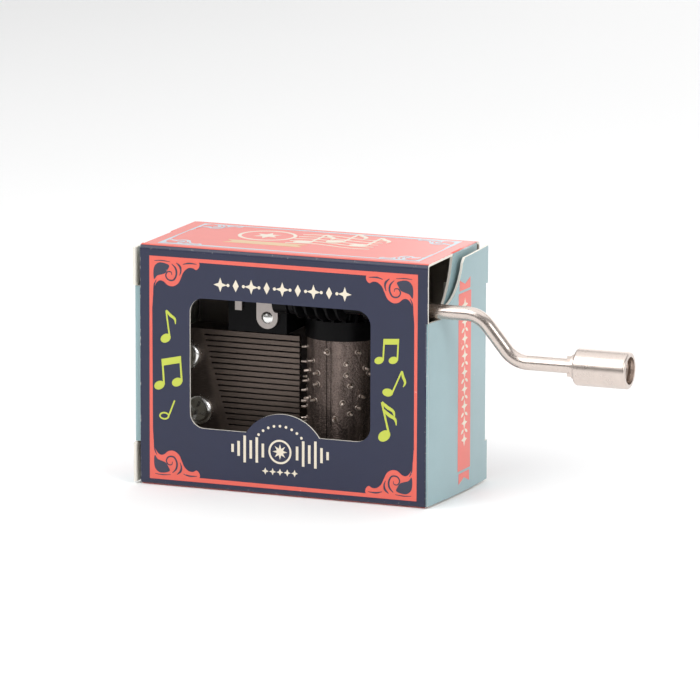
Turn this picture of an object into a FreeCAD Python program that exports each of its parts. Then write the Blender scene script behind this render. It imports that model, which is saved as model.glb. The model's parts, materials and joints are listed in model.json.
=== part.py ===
"""Pocket hand-crank music box: a movement with comb, pinned drum and worm drive in a folded card carton.

Row frame: +X towards the crank, -Y is the window side, +Z up.
The origin is the centre of the carton's bottom face. Millimetres throughout.
"""
import FreeCAD, Part
import math
import os

import Sketcher

Vector = FreeCAD.Vector
Rotation = FreeCAD.Rotation

doc = FreeCAD.newDocument("MusicBox")

# --------------------------------------------------------------------------
# Driving dimensions: alias, value, what it is
# --------------------------------------------------------------------------
DIMENSIONS = [
    # carton
    ("carton_width", 52.7, "outside, along X"),
    ("carton_depth", 25.0, "outside, along Y"),
    ("carton_height", 42.0, "outside, along Z"),
    ("card", 0.45, "thickness of the carton board"),
    ("fold_radius", 0.9, "outside radius of a folded edge"),
    ("seam_width", 5.0, "glue flap inside the back wall"),
    ("seam_floor", 1.0, "lower edge of the glue flap"),
    ("window_left", 9.2, "margin left of the window"),
    ("window_right", 10.3, "margin right of the window"),
    ("window_floor", 10.6, "lower edge of the window"),
    ("window_drop", 8.7, "margin above the window"),
    ("window_corner", 2.6, "radius of the window corners"),
    ("hump_radius", 8.0, "radius of the card hump in the window's lower edge"),
    ("hump_rise", 3.65, "height of the hump"),
    # end panels and flaps
    ("panel_lift", 0.3, "gap under an end panel"),
    ("bow_radius", 172.0, "radius that an end panel bows to"),
    ("right_bow_tilt", 7.7, "outward tilt of the right end panel at its fold, degrees"),
    ("left_bow_tilt", 7.0, "outward tilt of the left end panel at its fold, degrees"),
    ("cut_gap", 1.85, "crank wire back to the foot of the end panel's finger cut"),
    ("cut_foot", 0.43, "crank axis up to the foot of the finger cut"),
    ("cut_run", 6.5, "finger cut, foot to head, front to rear"),
    ("cut_rise", 6.3, "finger cut, foot to head, upwards"),
    ("cut_radius", 9.1, "finger cut"),
    ("cut_head", 0.8, "corner above the finger cut"),
    ("panel_top_drop", 0.7, "top of the carton down to an end panel's top"),
    ("notch_gap", 0.32, "crank wire down to the cut under it"),
    ("shoulder_proud", 0.2, "shoulder of an end panel past the carton's depth"),
    ("tuck_gap", 0.45, "tuck flap's crease to the wall that it slides behind"),
    ("tuck_short", 0.2, "tuck flap's ends short of the shoulders"),
    ("tuck_length", 7.0, "depth of a tuck flap"),
    ("tuck_lean", 10.0, "degrees that a tuck flap leans off the wall"),
    ("shoulder_height", 7.2, "height of an end panel's shoulders"),
    ("top_dust_length", 11.0, "top dust flap, fold to free edge"),
    ("bottom_dust_length", 7.5, "bottom dust flap, fold to free edge"),
    ("dust_root_near", 11.3, "panel's fold to the near end of a top dust flap's fold"),
    ("dust_tip_near", 5.7, "panel's fold to the near side of a dust flap's free edge"),
    ("dust_root_far", 1.3, "far wall to the far end of a dust flap's fold"),
    ("dust_tip_far", 3.0, "far wall to the far side of a dust flap's free edge"),
    ("dust_curve", 14.0, "radius of a top dust flap's near edge"),
    ("dust_straight", 2.5, "straight end of that edge"),
    # drum and its wheel
    ("drum_from_left", 32.7, "carton's left side to the drum axis"),
    ("drum_radius", 6.5, "pinned drum"),
    ("drum_wall", 0.5, "thickness of the drum's rolled sheet"),
    ("drum_overrun", 1.16, "drum below the comb's lower edge"),
    ("seam_gap", 0.12, "open joint along the rolled drum"),
    ("pin_reach", 1.0, "pins stand out of the drum"),
    ("pin_root", 0.32, "radius of a pin at the drum"),
    ("pin_tip", 0.2, "radius of a pin at its tip"),
    ("wheel_teeth", 22, "teeth of the wheel"),
    ("module", 0.6, "axial module of the worm and wheel"),
    ("tooth_play", 0.12, "thinning of each tooth at the pitch line"),
    ("tip_gap", 0.15, "gap between a tip and the root it runs in"),
    ("wheel_below", 3.8, "crank axis down to the lower end of the teeth"),
    ("wheel_above", 2.9, "crank axis up to the upper end of the teeth"),
    ("band_height", 3.3, "plain band under the teeth"),
    ("band_proud", 0.3, "plain band past the drum"),
    ("arbor_radius", 1.0, "drum arbor"),
    ("cap_height", 0.6, "flange of the drum's lower cap"),
    ("spigot", 2.0, "depth of wheel and cap inside the drum"),
    ("running_gap", 0.05, "radial clearance of every running fit"),
    ("end_gap", 0.5, "axial gap beside the drum"),
    # worm and crank
    ("crank_drop", 8.58, "top of the carton down to the crank axis"),
    ("worm_wall_gap", 0.5, "worm to the front wall"),
    ("wire_radius", 1.25, "crank wire"),
    ("worm_wall", 0.35, "plastic over the wire at the thread's root"),
    ("worm_turns", 5, "turns of thread"),
    ("thread_sunk", 0.12, "foot of the thread into the worm's core"),
    ("worm_collar", 0.8, "length of the collars on the worm"),
    ("collar_radius", 2.3, "radius of the collars on the worm"),
    ("thrust_gap", 0.3, "axial gap beside the worm"),
    ("crank_straight", 7.9, "carton's right side to the first corner of the wire"),
    ("crank_throw", 7.6, "crank axis to knob axis"),
    ("crank_slope", 50.4, "slope of the wire between its corners, degrees"),
    ("crank_bend", 5.0, "centre-line radius of the bends"),
    ("knob_from_side", 25.3, "carton's right side to the knob's shoulder"),
    ("knob_length", 9.3, "knob without its collar"),
    ("knob_radius", 3.15, "knob"),
    ("knob_collar", 0.7, "length of the knob's collar"),
    ("knob_collar_wall", 0.8, "wall of the knob's collar"),
    ("knob_edge", 0.35, "rounding of the knob's edges"),
    ("knob_recess", 1.4, "depth of the recess in the knob's end"),
    ("knob_recess_gap", 0.6, "peened head to the side of the recess"),
    ("head_proud", 0.5, "peened head past the wire"),
    ("head_height", 0.5, "peened head on the wire"),
    ("ear_proud", 0.5, "crimped ears past the wire"),
    ("ear_thick", 0.84, "crimped ears"),
    ("ear_length", 0.7, "crimped ears, along the wire"),
    # comb
    ("notes", 18, "teeth of the comb"),
    ("note_pitch", 0.97, "tooth to tooth"),
    ("slot_width", 0.28, "saw cut between two teeth"),
    ("comb_drop", 7.57, "crank axis down to the comb's upper edge"),
    ("comb_offset", 2.45, "drum axis forward to the comb's front face"),
    ("comb_thick", 1.7, "comb at its root"),
    ("tooth_thick", 0.7, "comb at its teeth"),
    ("comb_left", 1.9, "carton's left side to the comb"),
    ("slot_start", 7.5, "carton's left side to the end of the longest slot"),
    ("slot_slant", 4.5, "how much further right the shortest slot ends"),
    ("pick_gap", 0.15, "tooth tips to the circle of the pins"),
    ("weight_depth", 2.0, "lead weight behind a tooth"),
    ("weight_length", 5.0, "longest lead weight"),
    ("weight_gap", 0.45, "damper film to the weight beside it"),
    ("weighted_notes", 8, "teeth that carry a weight"),
    ("damper_length", 2.0, "damper film behind a tooth"),
    ("damper_thick", 0.2, "damper film"),
    ("damper_width", 0.55, "damper film"),
    ("damped_notes", 12, "teeth that carry a damper"),
    ("screw_radius", 1.25, "comb screws, M2.5"),
    ("screw_head_radius", 2.57, "pan head"),
    ("screw_head_height", 1.5, "pan head"),
    ("screw_length", 6.5, "under the head"),
    ("screw_hole_gap", 0.1, "radial clearance in the comb"),
    ("recess_width", 0.75, "arm of a cross recess"),
    ("recess_length", 3.3, "comb screws' recess, across"),
    ("recess_depth", 0.8, "comb screws' recess"),
    ("screw_left", 4.6, "carton's left side to the upper comb screw"),
    ("screw_slant", 2.2, "how much further right the lower screw sits"),
    ("screw_drop", 4.65, "comb's upper edge down to the upper screw"),
    ("screw_spacing", 9.5, "upper screw down to the lower one"),
    # cast frame
    ("frame_left", 2.05, "carton's left side to the frame"),
    ("frame_width", 42.0, "frame plate"),
    ("frame_thick", 1.8, "frame plate"),
    ("frame_corner", 3.0, "radius of the plate's corners"),
    ("frame_gap", 0.5, "pins or wheel to the plate, whichever is wider"),
    ("fit_gap", 0.05, "movement to the carton's walls"),
    ("pad_size", 5.0, "rear pads of the frame"),
    ("pad_inset", 2.5, "plate's edge to a rear pad"),
    ("lug_width", 6.0, "drum lugs"),
    ("lug_thick", 2.0, "drum lugs"),
    ("arm_thick", 2.0, "crank arm"),
    ("arm_height", 5.2, "crank arm"),
    ("arm_from_left", 42.0, "carton's left side to the crank arm"),
    ("bush_wall", 0.6, "crank bush"),
    ("bush_flange", 0.7, "flange of the crank bush"),
    ("bush_flange_proud", 0.7, "flange past the bush"),
    ("pedestal_width", 7.6, "comb pedestal"),
    ("pedestal_inset", 0.9, "pedestal short of the comb's ends"),
    # bearing block and its strap
    ("block_left", 13.8, "carton's left side to the bearing block"),
    ("block_width", 10.8, "bearing block"),
    ("block_below", 6.5, "crank axis down to the block's underside"),
    ("block_above", 3.9, "crank axis up to the block's top"),
    ("block_face", 2.3, "crank axis back to the block's front"),
    ("nose_start", 23.7, "carton's left side to the block's nose"),
    ("nose_length", 2.6, "nose that carries the wire's end"),
    ("nose_wall", 1.1, "wall of the nose about the wire"),
    ("journal_length", 2.1, "wire inside the nose"),
    ("strap_thick", 0.6, "steel strap"),
    ("tongue_from_left", 21.2, "carton's left side to the tongue"),
    ("tongue_drop", 3.75, "crank axis down to the tongue's centre"),
    ("tongue_radius", 1.95, "rounded end of the tongue"),
    ("tab_from_left", 15.9, "carton's left side to the small tab"),
    ("tab_width", 1.25, "small tab"),
    ("tab_drop", 2.8, "crank axis down to the tab's end"),
    ("strap_drop", 1.0, "crank axis down to the strap's bar"),
    ("strap_above", 3.2, "crank axis up to the strap's upper edge"),
    ("rivet_radius", 0.6, "strap rivets"),
    ("rivet_head_radius", 1.05, "strap rivets"),
    ("rivet_head_height", 0.4, "strap rivets"),
    ("rivet_length", 2.5, "strap rivets"),
    ("block_screw_radius", 1.0, "screws that hold the block, M2"),
    ("block_screw_head", 1.9, "radius of their heads"),
    ("block_screw_head_height", 0.9, "their heads"),
    ("block_recess_length", 2.4, "their recess, across"),
    ("block_recess_depth", 0.55, "their recess"),
    ("block_screw_length", 5.6, "under the head"),
    ("block_head_sink", 0.4, "depth of the seat in the plate's back that each head lies in"),
    ("block_screw_inset", 2.6, "block's side to a screw"),
]

sheet = doc.addObject("Spreadsheet::Sheet", "Sizes")
for row, (alias, number, note) in enumerate(DIMENSIONS, start=1):
    sheet.set("A%d" % row, alias)
    sheet.set("B%d" % row, str(number))
    sheet.set("C%d" % row, note)
    sheet.setAlias("B%d" % row, alias)
doc.recompute()


class Size:
    """A length with both its number and the sheet expression that gives it."""

    def __init__(self, value, text):
        self.value = float(value)
        self.text = text

    @staticmethod
    def of(item):
        """Wrap a plain number; a Size passes through."""
        return item if isinstance(item, Size) else Size(item, "(%s)" % repr(float(item)))

    def join(self, other, sign, value):
        """The result of a sum, with the expression that gives it."""
        return Size(value, "(%s %s %s)" % (self.text, sign, other.text))

    def __add__(self, other):
        other = Size.of(other)
        return self.join(other, "+", self.value + other.value)

    def __sub__(self, other):
        other = Size.of(other)
        return self.join(other, "-", self.value - other.value)

    def __mul__(self, other):
        other = Size.of(other)
        return self.join(other, "*", self.value * other.value)

    def __truediv__(self, other):
        other = Size.of(other)
        return self.join(other, "/", self.value / other.value)

    def __radd__(self, other):
        return Size.of(other) + self

    def __rsub__(self, other):
        return Size.of(other) - self

    def __rmul__(self, other):
        return Size.of(other) * self

    def __neg__(self):
        return Size.of(0) - self


def size(alias):
    """The named value of the sheet, as a Size."""
    return Size(sheet.get(alias), "Sizes." + alias)


def function(name, angle):
    """sin, cos or tan of an angle in degrees."""
    value = getattr(math, name)(math.radians(angle.value))
    return Size(value, "%s(%s)" % (name, angle.text))


def arc_sine(item):
    """The angle, in plain degrees, that has this sine."""
    return Size(math.degrees(math.asin(item.value)), "(asin(%s) / 1 deg)" % item.text)


def root(item):
    """Square root of a Size."""
    return Size(math.sqrt(item.value), "sqrt(%s)" % item.text)


def larger(one, two):
    """The larger of two Sizes."""
    return Size(max(one.value, two.value), "max(%s; %s)" % (one.text, two.text))


def bind(obj, prop, item):
    """Give a property its sheet expression, or its plain number."""
    obj.setExpression(prop, Size.of(item).text)


def place(obj, point, rotation=None):
    """Bind an object's Placement to a point; the rotation is fixed."""
    start = Vector(*[Size.of(value).value for value in point])
    obj.Placement = FreeCAD.Placement(start, rotation or Rotation())
    for axis, value in zip("xyz", point):
        bind(obj, "Placement.Base." + axis, value)
    return obj


# --------------------------------------------------------------------------
# Small makers
# --------------------------------------------------------------------------
FULL_TURN = 360.0
HALF_TURN = 180.0
RIGHT_ANGLE = 90.0
TOUCH = 1e-4
ALONG = {
    "x": Rotation(Vector(0, 1, 0), RIGHT_ANGLE),
    "y": Rotation(Vector(1, 0, 0), -RIGHT_ANGLE),
    "z": Rotation(),
}
STANDING = Rotation(Vector(1, 1, 1), FULL_TURN / 3)  # a sketch's x, y, z become Y, Z, X
PLANES = {"xy": "XY_Plane", "xz": "XZ_Plane", "yz": "YZ_Plane"}
PARTS = {}


def keep(node, obj):
    """Name a sub-part; its Label is also its file's name."""
    obj.Label = node
    PARTS[node] = obj
    return obj


def near(one, two):
    """Whether two numbers are the same place."""
    return abs(one - two) < TOUCH


def block(name, low, lengths):
    """A box from its low corner and its three lengths."""
    box = doc.addObject("Part::Box", name)
    for prop, value in zip(("Length", "Width", "Height"), lengths):
        bind(box, prop, value)
    return place(box, low)


def rod(name, radius, length, start, axis="z"):
    """A cylinder that starts at a point and runs along an axis."""
    cylinder = doc.addObject("Part::Cylinder", name)
    bind(cylinder, "Radius", radius)
    bind(cylinder, "Height", length)
    return place(cylinder, start, ALONG[axis])


def fused(name, shapes):
    """One solid from several."""
    union = doc.addObject("Part::MultiFuse", name)
    union.Shapes = shapes
    union.Refine = True
    return union


def less(name, base, tools):
    """A base without its tools."""
    tool = tools[0] if len(tools) == 1 else fused(name + "_tools", tools)
    difference = doc.addObject("Part::Cut", name)
    difference.Base = base
    difference.Tool = tool
    difference.Refine = True
    return difference


def new_body(name):
    """An empty body."""
    return doc.addObject("PartDesign::Body", name)


def origin_plane(body, plane):
    """One of the body's own origin planes."""
    for feature in body.Origin.OriginFeatures:
        if feature.Role == PLANES[plane]:
            return feature
    raise RuntimeError("no plane " + plane)


def sketch_on(body, name, plane, offset=0):
    """A sketch on an origin plane of its body, moved along the plane's normal."""
    sketch = body.newObject("Sketcher::SketchObject", name)
    sketch.AttachmentSupport = (origin_plane(body, plane), [""])
    sketch.MapMode = "FlatFace"
    bind(sketch, "AttachmentOffset.Base.z", offset)
    return sketch


def pin_point(sketch, geometry, end, point):
    """Bind a vertex of a sketch to a point."""
    for kind, value in zip(("DistanceX", "DistanceY"), point):
        value = Size.of(value)
        number = sketch.addConstraint(Sketcher.Constraint(kind, -1, 1, geometry, end, value.value))
        sketch.setExpression("Constraints[%d]" % number, value.text)


def outline(sketch, start, steps):
    """A closed outline. A step is a point, or (point, radius, side) for an arc.

    side is +1 when the arc's centre lies left of its chord, and -1 when right.
    """
    points = [start] + [step[0] if len(step) == 3 else step for step in steps]
    plain = [Vector(Size.of(p[0]).value, Size.of(p[1]).value, 0) for p in points]
    first = sketch.GeometryCount
    count = len(steps)
    ends = []
    for index, step in enumerate(steps):
        one = plain[index]
        two = plain[index + 1]
        if len(step) == 3:
            radius = Size.of(step[1])
            chord = two - one
            half = chord.Length / 2
            away = math.sqrt(max(radius.value ** 2 - half ** 2, 0.0))
            normal = Vector(-chord.y, chord.x, 0).normalize()
            centre = (one + two) / 2 + normal * (away * step[2])
            middle = centre + ((one + two) / 2 - centre).normalize() * radius.value
            sketch.addGeometry(Part.Arc(one, middle, two))
            counter_clockwise = step[2] > 0
            ends.append((1, 2) if counter_clockwise else (2, 1))
            number = sketch.addConstraint(Sketcher.Constraint("Radius", first + index, radius.value))
            sketch.setExpression("Constraints[%d]" % number, radius.text)
        else:
            sketch.addGeometry(Part.LineSegment(one, two))
            ends.append((1, 2))
    for index in range(count):
        following = (index + 1) % count
        sketch.addConstraint(Sketcher.Constraint(
            "Coincident", first + index, ends[index][1], first + following, ends[following][0]))
    for index in range(count):
        pin_point(sketch, first + index, ends[index][0], points[index])


def rectangle(sketch, low, high):
    """A rectangle between two corners."""
    outline(sketch, low, [(high[0], low[1]), high, (low[0], high[1]), low])


def circle(sketch, centre, radius):
    """A circle bound to its centre and radius."""
    radius = Size.of(radius)
    middle = Vector(Size.of(centre[0]).value, Size.of(centre[1]).value, 0)
    number = sketch.addGeometry(Part.Circle(middle, Vector(0, 0, 1), radius.value))
    held = sketch.addConstraint(Sketcher.Constraint("Radius", number, radius.value))
    sketch.setExpression("Constraints[%d]" % held, radius.text)
    pin_point(sketch, number, 3, centre)


def pad(body, sketch, length, reverse=False, name="Pad"):
    """A pad along the sketch's normal, or against it."""
    feature = body.newObject("PartDesign::Pad", name)
    feature.Profile = sketch
    feature.Reversed = reverse
    bind(feature, "Length", length)
    doc.recompute()
    return feature


def pocket(body, sketch, length, reverse=False, name="Pocket"):
    """A pocket, checked to have cut something."""
    before = body.Tip.Shape.Volume
    feature = body.newObject("PartDesign::Pocket", name)
    feature.Profile = sketch
    feature.Reversed = reverse
    bind(feature, "Length", length)
    doc.recompute()
    if feature.Shape.Volume >= before:
        raise RuntimeError("%s in %s cuts nothing" % (name, body.Label))
    return feature


def revolve(body, sketch, axis, name="Revolution"):
    """A full turn of a sketch about one of its axes."""
    feature = body.newObject("PartDesign::Revolution", name)
    feature.Profile = sketch
    feature.ReferenceAxis = (sketch, [axis])
    feature.Angle = FULL_TURN
    doc.recompute()
    return feature


def edges_where(shape, test):
    """Names of the straight edges whose two ends pass a test."""
    names = []
    for index, edge in enumerate(shape.Edges, start=1):
        if len(edge.Vertexes) != 2:
            continue
        one = edge.Vertexes[0].Point
        two = edge.Vertexes[1].Point
        if test(one, two):
            names.append("Edge%d" % index)
    return names


def fillet(body, names, radius, name="Fillet"):
    """Round the named edges of a body."""
    base = body.Tip
    feature = body.newObject("PartDesign::Fillet", name)
    feature.Base = (base, names)
    bind(feature, "Radius", radius)
    doc.recompute()
    return feature


# --------------------------------------------------------------------------
# Places that several pieces share
# --------------------------------------------------------------------------
width = size("carton_width")
depth = size("carton_depth")
height = size("carton_height")
card = size("card")
left = -width / 2
right = width / 2
front = -depth / 2
rear = depth / 2
play = size("running_gap")

wire_radius = size("wire_radius")
wire_bore = wire_radius + play
module = size("module")
teeth = size("wheel_teeth")
tooth_pitch = module * math.pi
wheel_pitch = module * teeth / 2
worm_root = wire_radius + size("worm_wall")
tooth_foot = module + size("tip_gap")
worm_pitch = worm_root + tooth_foot
worm_tip = worm_pitch + module
lead_angle = Size(math.degrees(math.atan2(tooth_pitch.value, 2 * math.pi * worm_pitch.value)),
                  "atan(%s / (2 * pi * %s)) / 1 deg" % (tooth_pitch.text, worm_pitch.text))

crank_y = front + card + size("worm_wall_gap") + worm_tip
crank_z = height - size("crank_drop")
drum_x = left + size("drum_from_left")
drum_y = crank_y + worm_pitch + wheel_pitch
pin_circle = size("drum_radius") + size("pin_reach")

wheel_low = crank_z - size("wheel_below")
wheel_high = crank_z + size("wheel_above")
shell_high = wheel_low - size("band_height")
comb_high = crank_z - size("comb_drop")
comb_span = size("notes") * size("note_pitch")
comb_low = comb_high - comb_span
shell_low = comb_low - size("drum_overrun")
shell_length = shell_high - shell_low
cap_low = shell_low - size("cap_height")

comb_y = drum_y - size("comb_offset")
comb_back = comb_y + size("comb_thick")
tooth_back = comb_y + size("tooth_thick")
pick_depth = drum_y - tooth_back
comb_tip = drum_x - root(pin_circle * pin_circle - pick_depth * pick_depth) - size("pick_gap")

plate_y = drum_y + larger(pin_circle, wheel_pitch + module) + size("frame_gap")
plate_back = plate_y + size("frame_thick")
plate_left = left + size("frame_left")
plate_low = card + size("fit_gap")
plate_high = height - card - size("fit_gap")
lug_low_top = cap_low - size("end_gap")
lug_high_floor = wheel_high + size("end_gap")
notch_z = crank_z - wire_radius - size("notch_gap")
block_y = crank_y + size("block_face")
block_x = left + size("block_left")


shoulder_reach = depth - card + size("shoulder_proud")
crease_reach = depth - card * 2 - size("tuck_gap")


# --------------------------------------------------------------------------
# Carton
# --------------------------------------------------------------------------
def carton_sleeve():
    """Four walls of one folded card, with the window, the glue flap and the cut-backs at the folds."""
    body = new_body("carton_sleeve")
    ring = sketch_on(body, "Walls", "yz", left)
    rectangle(ring, (front, 0), (rear, height))
    pad(body, ring, width, name="Block")
    corners = edges_where(body.Tip.Shape, lambda a, b: near(a.y, b.y) and near(a.z, b.z))
    fillet(body, corners, size("fold_radius"), "Folds")
    inside = sketch_on(body, "Inside", "yz", left)
    rectangle(inside, (front + card, card), (rear - card, height - card))
    pocket(body, inside, width, reverse=True, name="Hollow")
    inner = edges_where(
        body.Tip.Shape,
        lambda a, b: near(a.y, b.y) and near(a.z, b.z)
        and near(abs(a.y), depth.value / 2 - card.value)
        and (near(a.z, card.value) or near(a.z, height.value - card.value)))
    fillet(body, inner, size("fold_radius") - card, "InnerFolds")

    seam = sketch_on(body, "Seam", "yz", left + card * 2)
    low = size("seam_floor") + size("fold_radius")
    rectangle(seam, (rear - card * 2, low), (rear - card, low + size("seam_width")))
    pad(body, seam, width - card * 4, name="GlueFlap")

    window = sketch_on(body, "Window", "xz", -front)
    low_x = left + size("window_left")
    high_x = right - size("window_right")
    low_z = size("window_floor")
    high_z = height - size("window_drop")
    hump = size("hump_radius")
    rise = size("hump_rise")
    half_hump = root(hump * rise * 2 - rise * rise)
    outline(window, (low_x, low_z), [
        (-half_hump, low_z),
        ((half_hump, low_z), hump, -1),
        (high_x, low_z),
        (high_x, high_z),
        (low_x, high_z),
        (low_x, low_z),
    ])
    pocket(body, window, card, name="WindowCut")
    rounded = edges_where(
        body.Tip.Shape,
        lambda a, b: near(a.x, b.x) and near(a.z, b.z)
        and near(abs(a.y - b.y), card.value)
        and (near(a.x, low_x.value) or near(a.x, high_x.value))
        and (near(a.z, low_z.value) or near(a.z, high_z.value)))
    fillet(body, rounded, size("window_corner"), "WindowCorners")

    # The end panels and dust flaps turn about the inner corners of these cut-backs.
    fold = sketch_on(body, "RightFold", "xy")
    rectangle(fold, (right - card, front), (right, front + card * 2))
    pocket(body, fold, notch_z, reverse=True, name="RightFoldCut")
    fold = sketch_on(body, "LeftFold", "xy")
    rectangle(fold, (left, rear - card * 2), (left + card, rear))
    pocket(body, fold, height, reverse=True, name="LeftFoldCut")
    fold = sketch_on(body, "BottomEnds", "xy")
    rectangle(fold, (right - card, front), (right, rear - card * 2))
    rectangle(fold, (left, front + card * 2), (left + card, rear))
    pocket(body, fold, card, reverse=True, name="BottomEndsCut")
    fold = sketch_on(body, "TopEnds", "xy", height)
    near_end = card + size("dust_root_near") - size("fit_gap")
    far_end = size("dust_root_far") - size("fit_gap")
    rectangle(fold, (right - card, front + near_end), (right, rear - far_end))
    rectangle(fold, (left, front + far_end), (left + card, rear - near_end))
    pocket(body, fold, card, name="TopEndsCut")
    return keep("carton_sleeve", body)


def bowed_plate(name, tilt, tall, reach):
    """A panel bent to the bow radius, starting at its fold on the local origin."""
    radius = size("bow_radius")
    centre = (-radius * function("cos", tilt), radius * function("sin", tilt), 0)
    turned = Rotation(Vector(0, 0, 1), -tilt.value)
    rings = []
    for suffix, ring_radius in (("Outer", radius + card), ("Inner", radius)):
        ring = rod(name + suffix, ring_radius, tall, centre)
        bind(ring, "Angle", reach / radius * HALF_TURN / math.pi)
        place(ring, centre, turned)
        rings.append(ring)
    return less(name, rings[0], [rings[1]])


def standing_sheet(name, start, steps, low_x, thick):
    """An outline in the YZ plane, pushed along X."""
    sketch = doc.addObject("Sketcher::SketchObject", name + "Outline")
    place(sketch, (low_x, 0, 0), STANDING)
    outline(sketch, start, steps)
    solid = doc.addObject("Part::Extrusion", name)
    solid.Base = sketch
    solid.DirMode = "Normal"
    solid.Solid = True
    bind(solid, "LengthFwd", thick)
    return solid


def shared(name, one, two):
    """What two solids have in common."""
    both = doc.addObject("Part::MultiCommon", name)
    both.Shapes = [one, two]
    return both


def at_corner(obj, side, z):
    """Put a flap, drawn from its hinge corner, on its side of the carton."""
    if side == "right":
        return place(obj, (right - card, front + card, z))
    return place(obj, (left + card, rear - card, z), Rotation(Vector(0, 0, 1), HALF_TURN))


def end_panel(side, tilt):
    """An end panel with shoulders beside its tuck crease; the right one is cut away for the crank."""
    low = size("panel_lift")
    top = height - size("panel_top_drop")
    reach = shoulder_reach
    crease = crease_reach
    step = size("shoulder_height")
    far_side = [
        (reach, low),
        (reach, step),
        (crease, step),
        (crease, height - step),
        (reach, height - step),
        (reach, top),
    ]
    if side == "right":
        shelf = notch_z
        foot_y = crank_y - front - card + wire_radius + size("cut_gap")
        foot_z = crank_z + size("cut_foot")
        head_y = foot_y + size("cut_run")
        head_z = foot_z + size("cut_rise")
        corner_cut = size("cut_head")
        near_side = [
            (head_y + corner_cut, head_z + corner_cut),
            (head_y, head_z),
            ((foot_y, foot_z), size("cut_radius"), -1),
            (foot_y - (foot_z - shelf), shelf),
            (0, shelf),
            (0, low),
        ]
    else:
        near_side = [(card, top), (0, top - card), (0, low)]
    plate = bowed_plate(side + "_plate", tilt, height, reach)
    profile = standing_sheet(side + "_profile", (0, low), far_side + near_side, -depth, depth * 2)
    panel = shared(side + "_panel", plate, profile)
    return keep(side + "_end_panel", at_corner(panel, side, 0))


def tuck_flap(side, tilt):
    """A tuck flap on the crease of its end panel, leaning off the wall that it slides behind."""
    radius = size("bow_radius")
    turn = arc_sine(crease_reach / radius - function("sin", tilt))
    crease_x = radius * (function("cos", turn) - function("cos", tilt))
    crease_y = radius * (function("sin", turn) + function("sin", tilt))
    low = size("shoulder_height") + size("tuck_short")
    lean = size("tuck_lean")
    leaf = block(side + "_tuck_leaf", (0, 0, 0), (size("tuck_length"), card, height - low * 2))
    lean_turn = Rotation(Vector(0, 0, 1), lean.value)
    place(leaf, (-size("tuck_length") * function("cos", lean),
                 -size("tuck_length") * function("sin", lean), 0), lean_turn)
    bend = rod(side + "_tuck_bend", card, height - low * 2, (0, 0, 0))
    bind(bend, "Angle", RIGHT_ANGLE + lean - turn)
    place(bend, (0, 0, 0), Rotation(Vector(0, 0, 1), turn.value))
    flap = fused(side + "_tuck", [leaf, bend])
    if side == "right":
        place(flap, (right - card + crease_x, front + card + crease_y, low))
    else:
        place(flap, (left + card - crease_x, rear - card - crease_y, low),
              Rotation(Vector(0, 0, 1), HALF_TURN))
    return keep(side + "_tuck_flap", flap)


def dust_flap(side, level):
    """A dust flap that folds down from the top wall or up from the bottom one."""
    inner_depth = depth - card * 2
    near_tip = size("dust_tip_near")
    far_root = inner_depth - size("dust_root_far") + card
    far_tip = inner_depth - size("dust_tip_far") + card
    if level == "top":
        long = size("top_dust_length")
        start = (size("dust_root_near"), 0)
        steps = [
            ((near_tip, -(long - size("dust_straight"))), size("dust_curve"), -1),
            (near_tip, -long),
            (far_tip, -long),
            (far_root, 0),
            start,
        ]
        z = height - card
    else:
        long = size("bottom_dust_length")
        start = (near_tip, 0)
        steps = [(far_root, 0), (far_tip, long), (near_tip, long), start]
        z = card
    flap = standing_sheet("%s_%s_dust" % (side, level), start, steps, 0, card)
    return keep("%s_%s_dust_flap" % (side, level), at_corner(flap, side, z))


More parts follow.
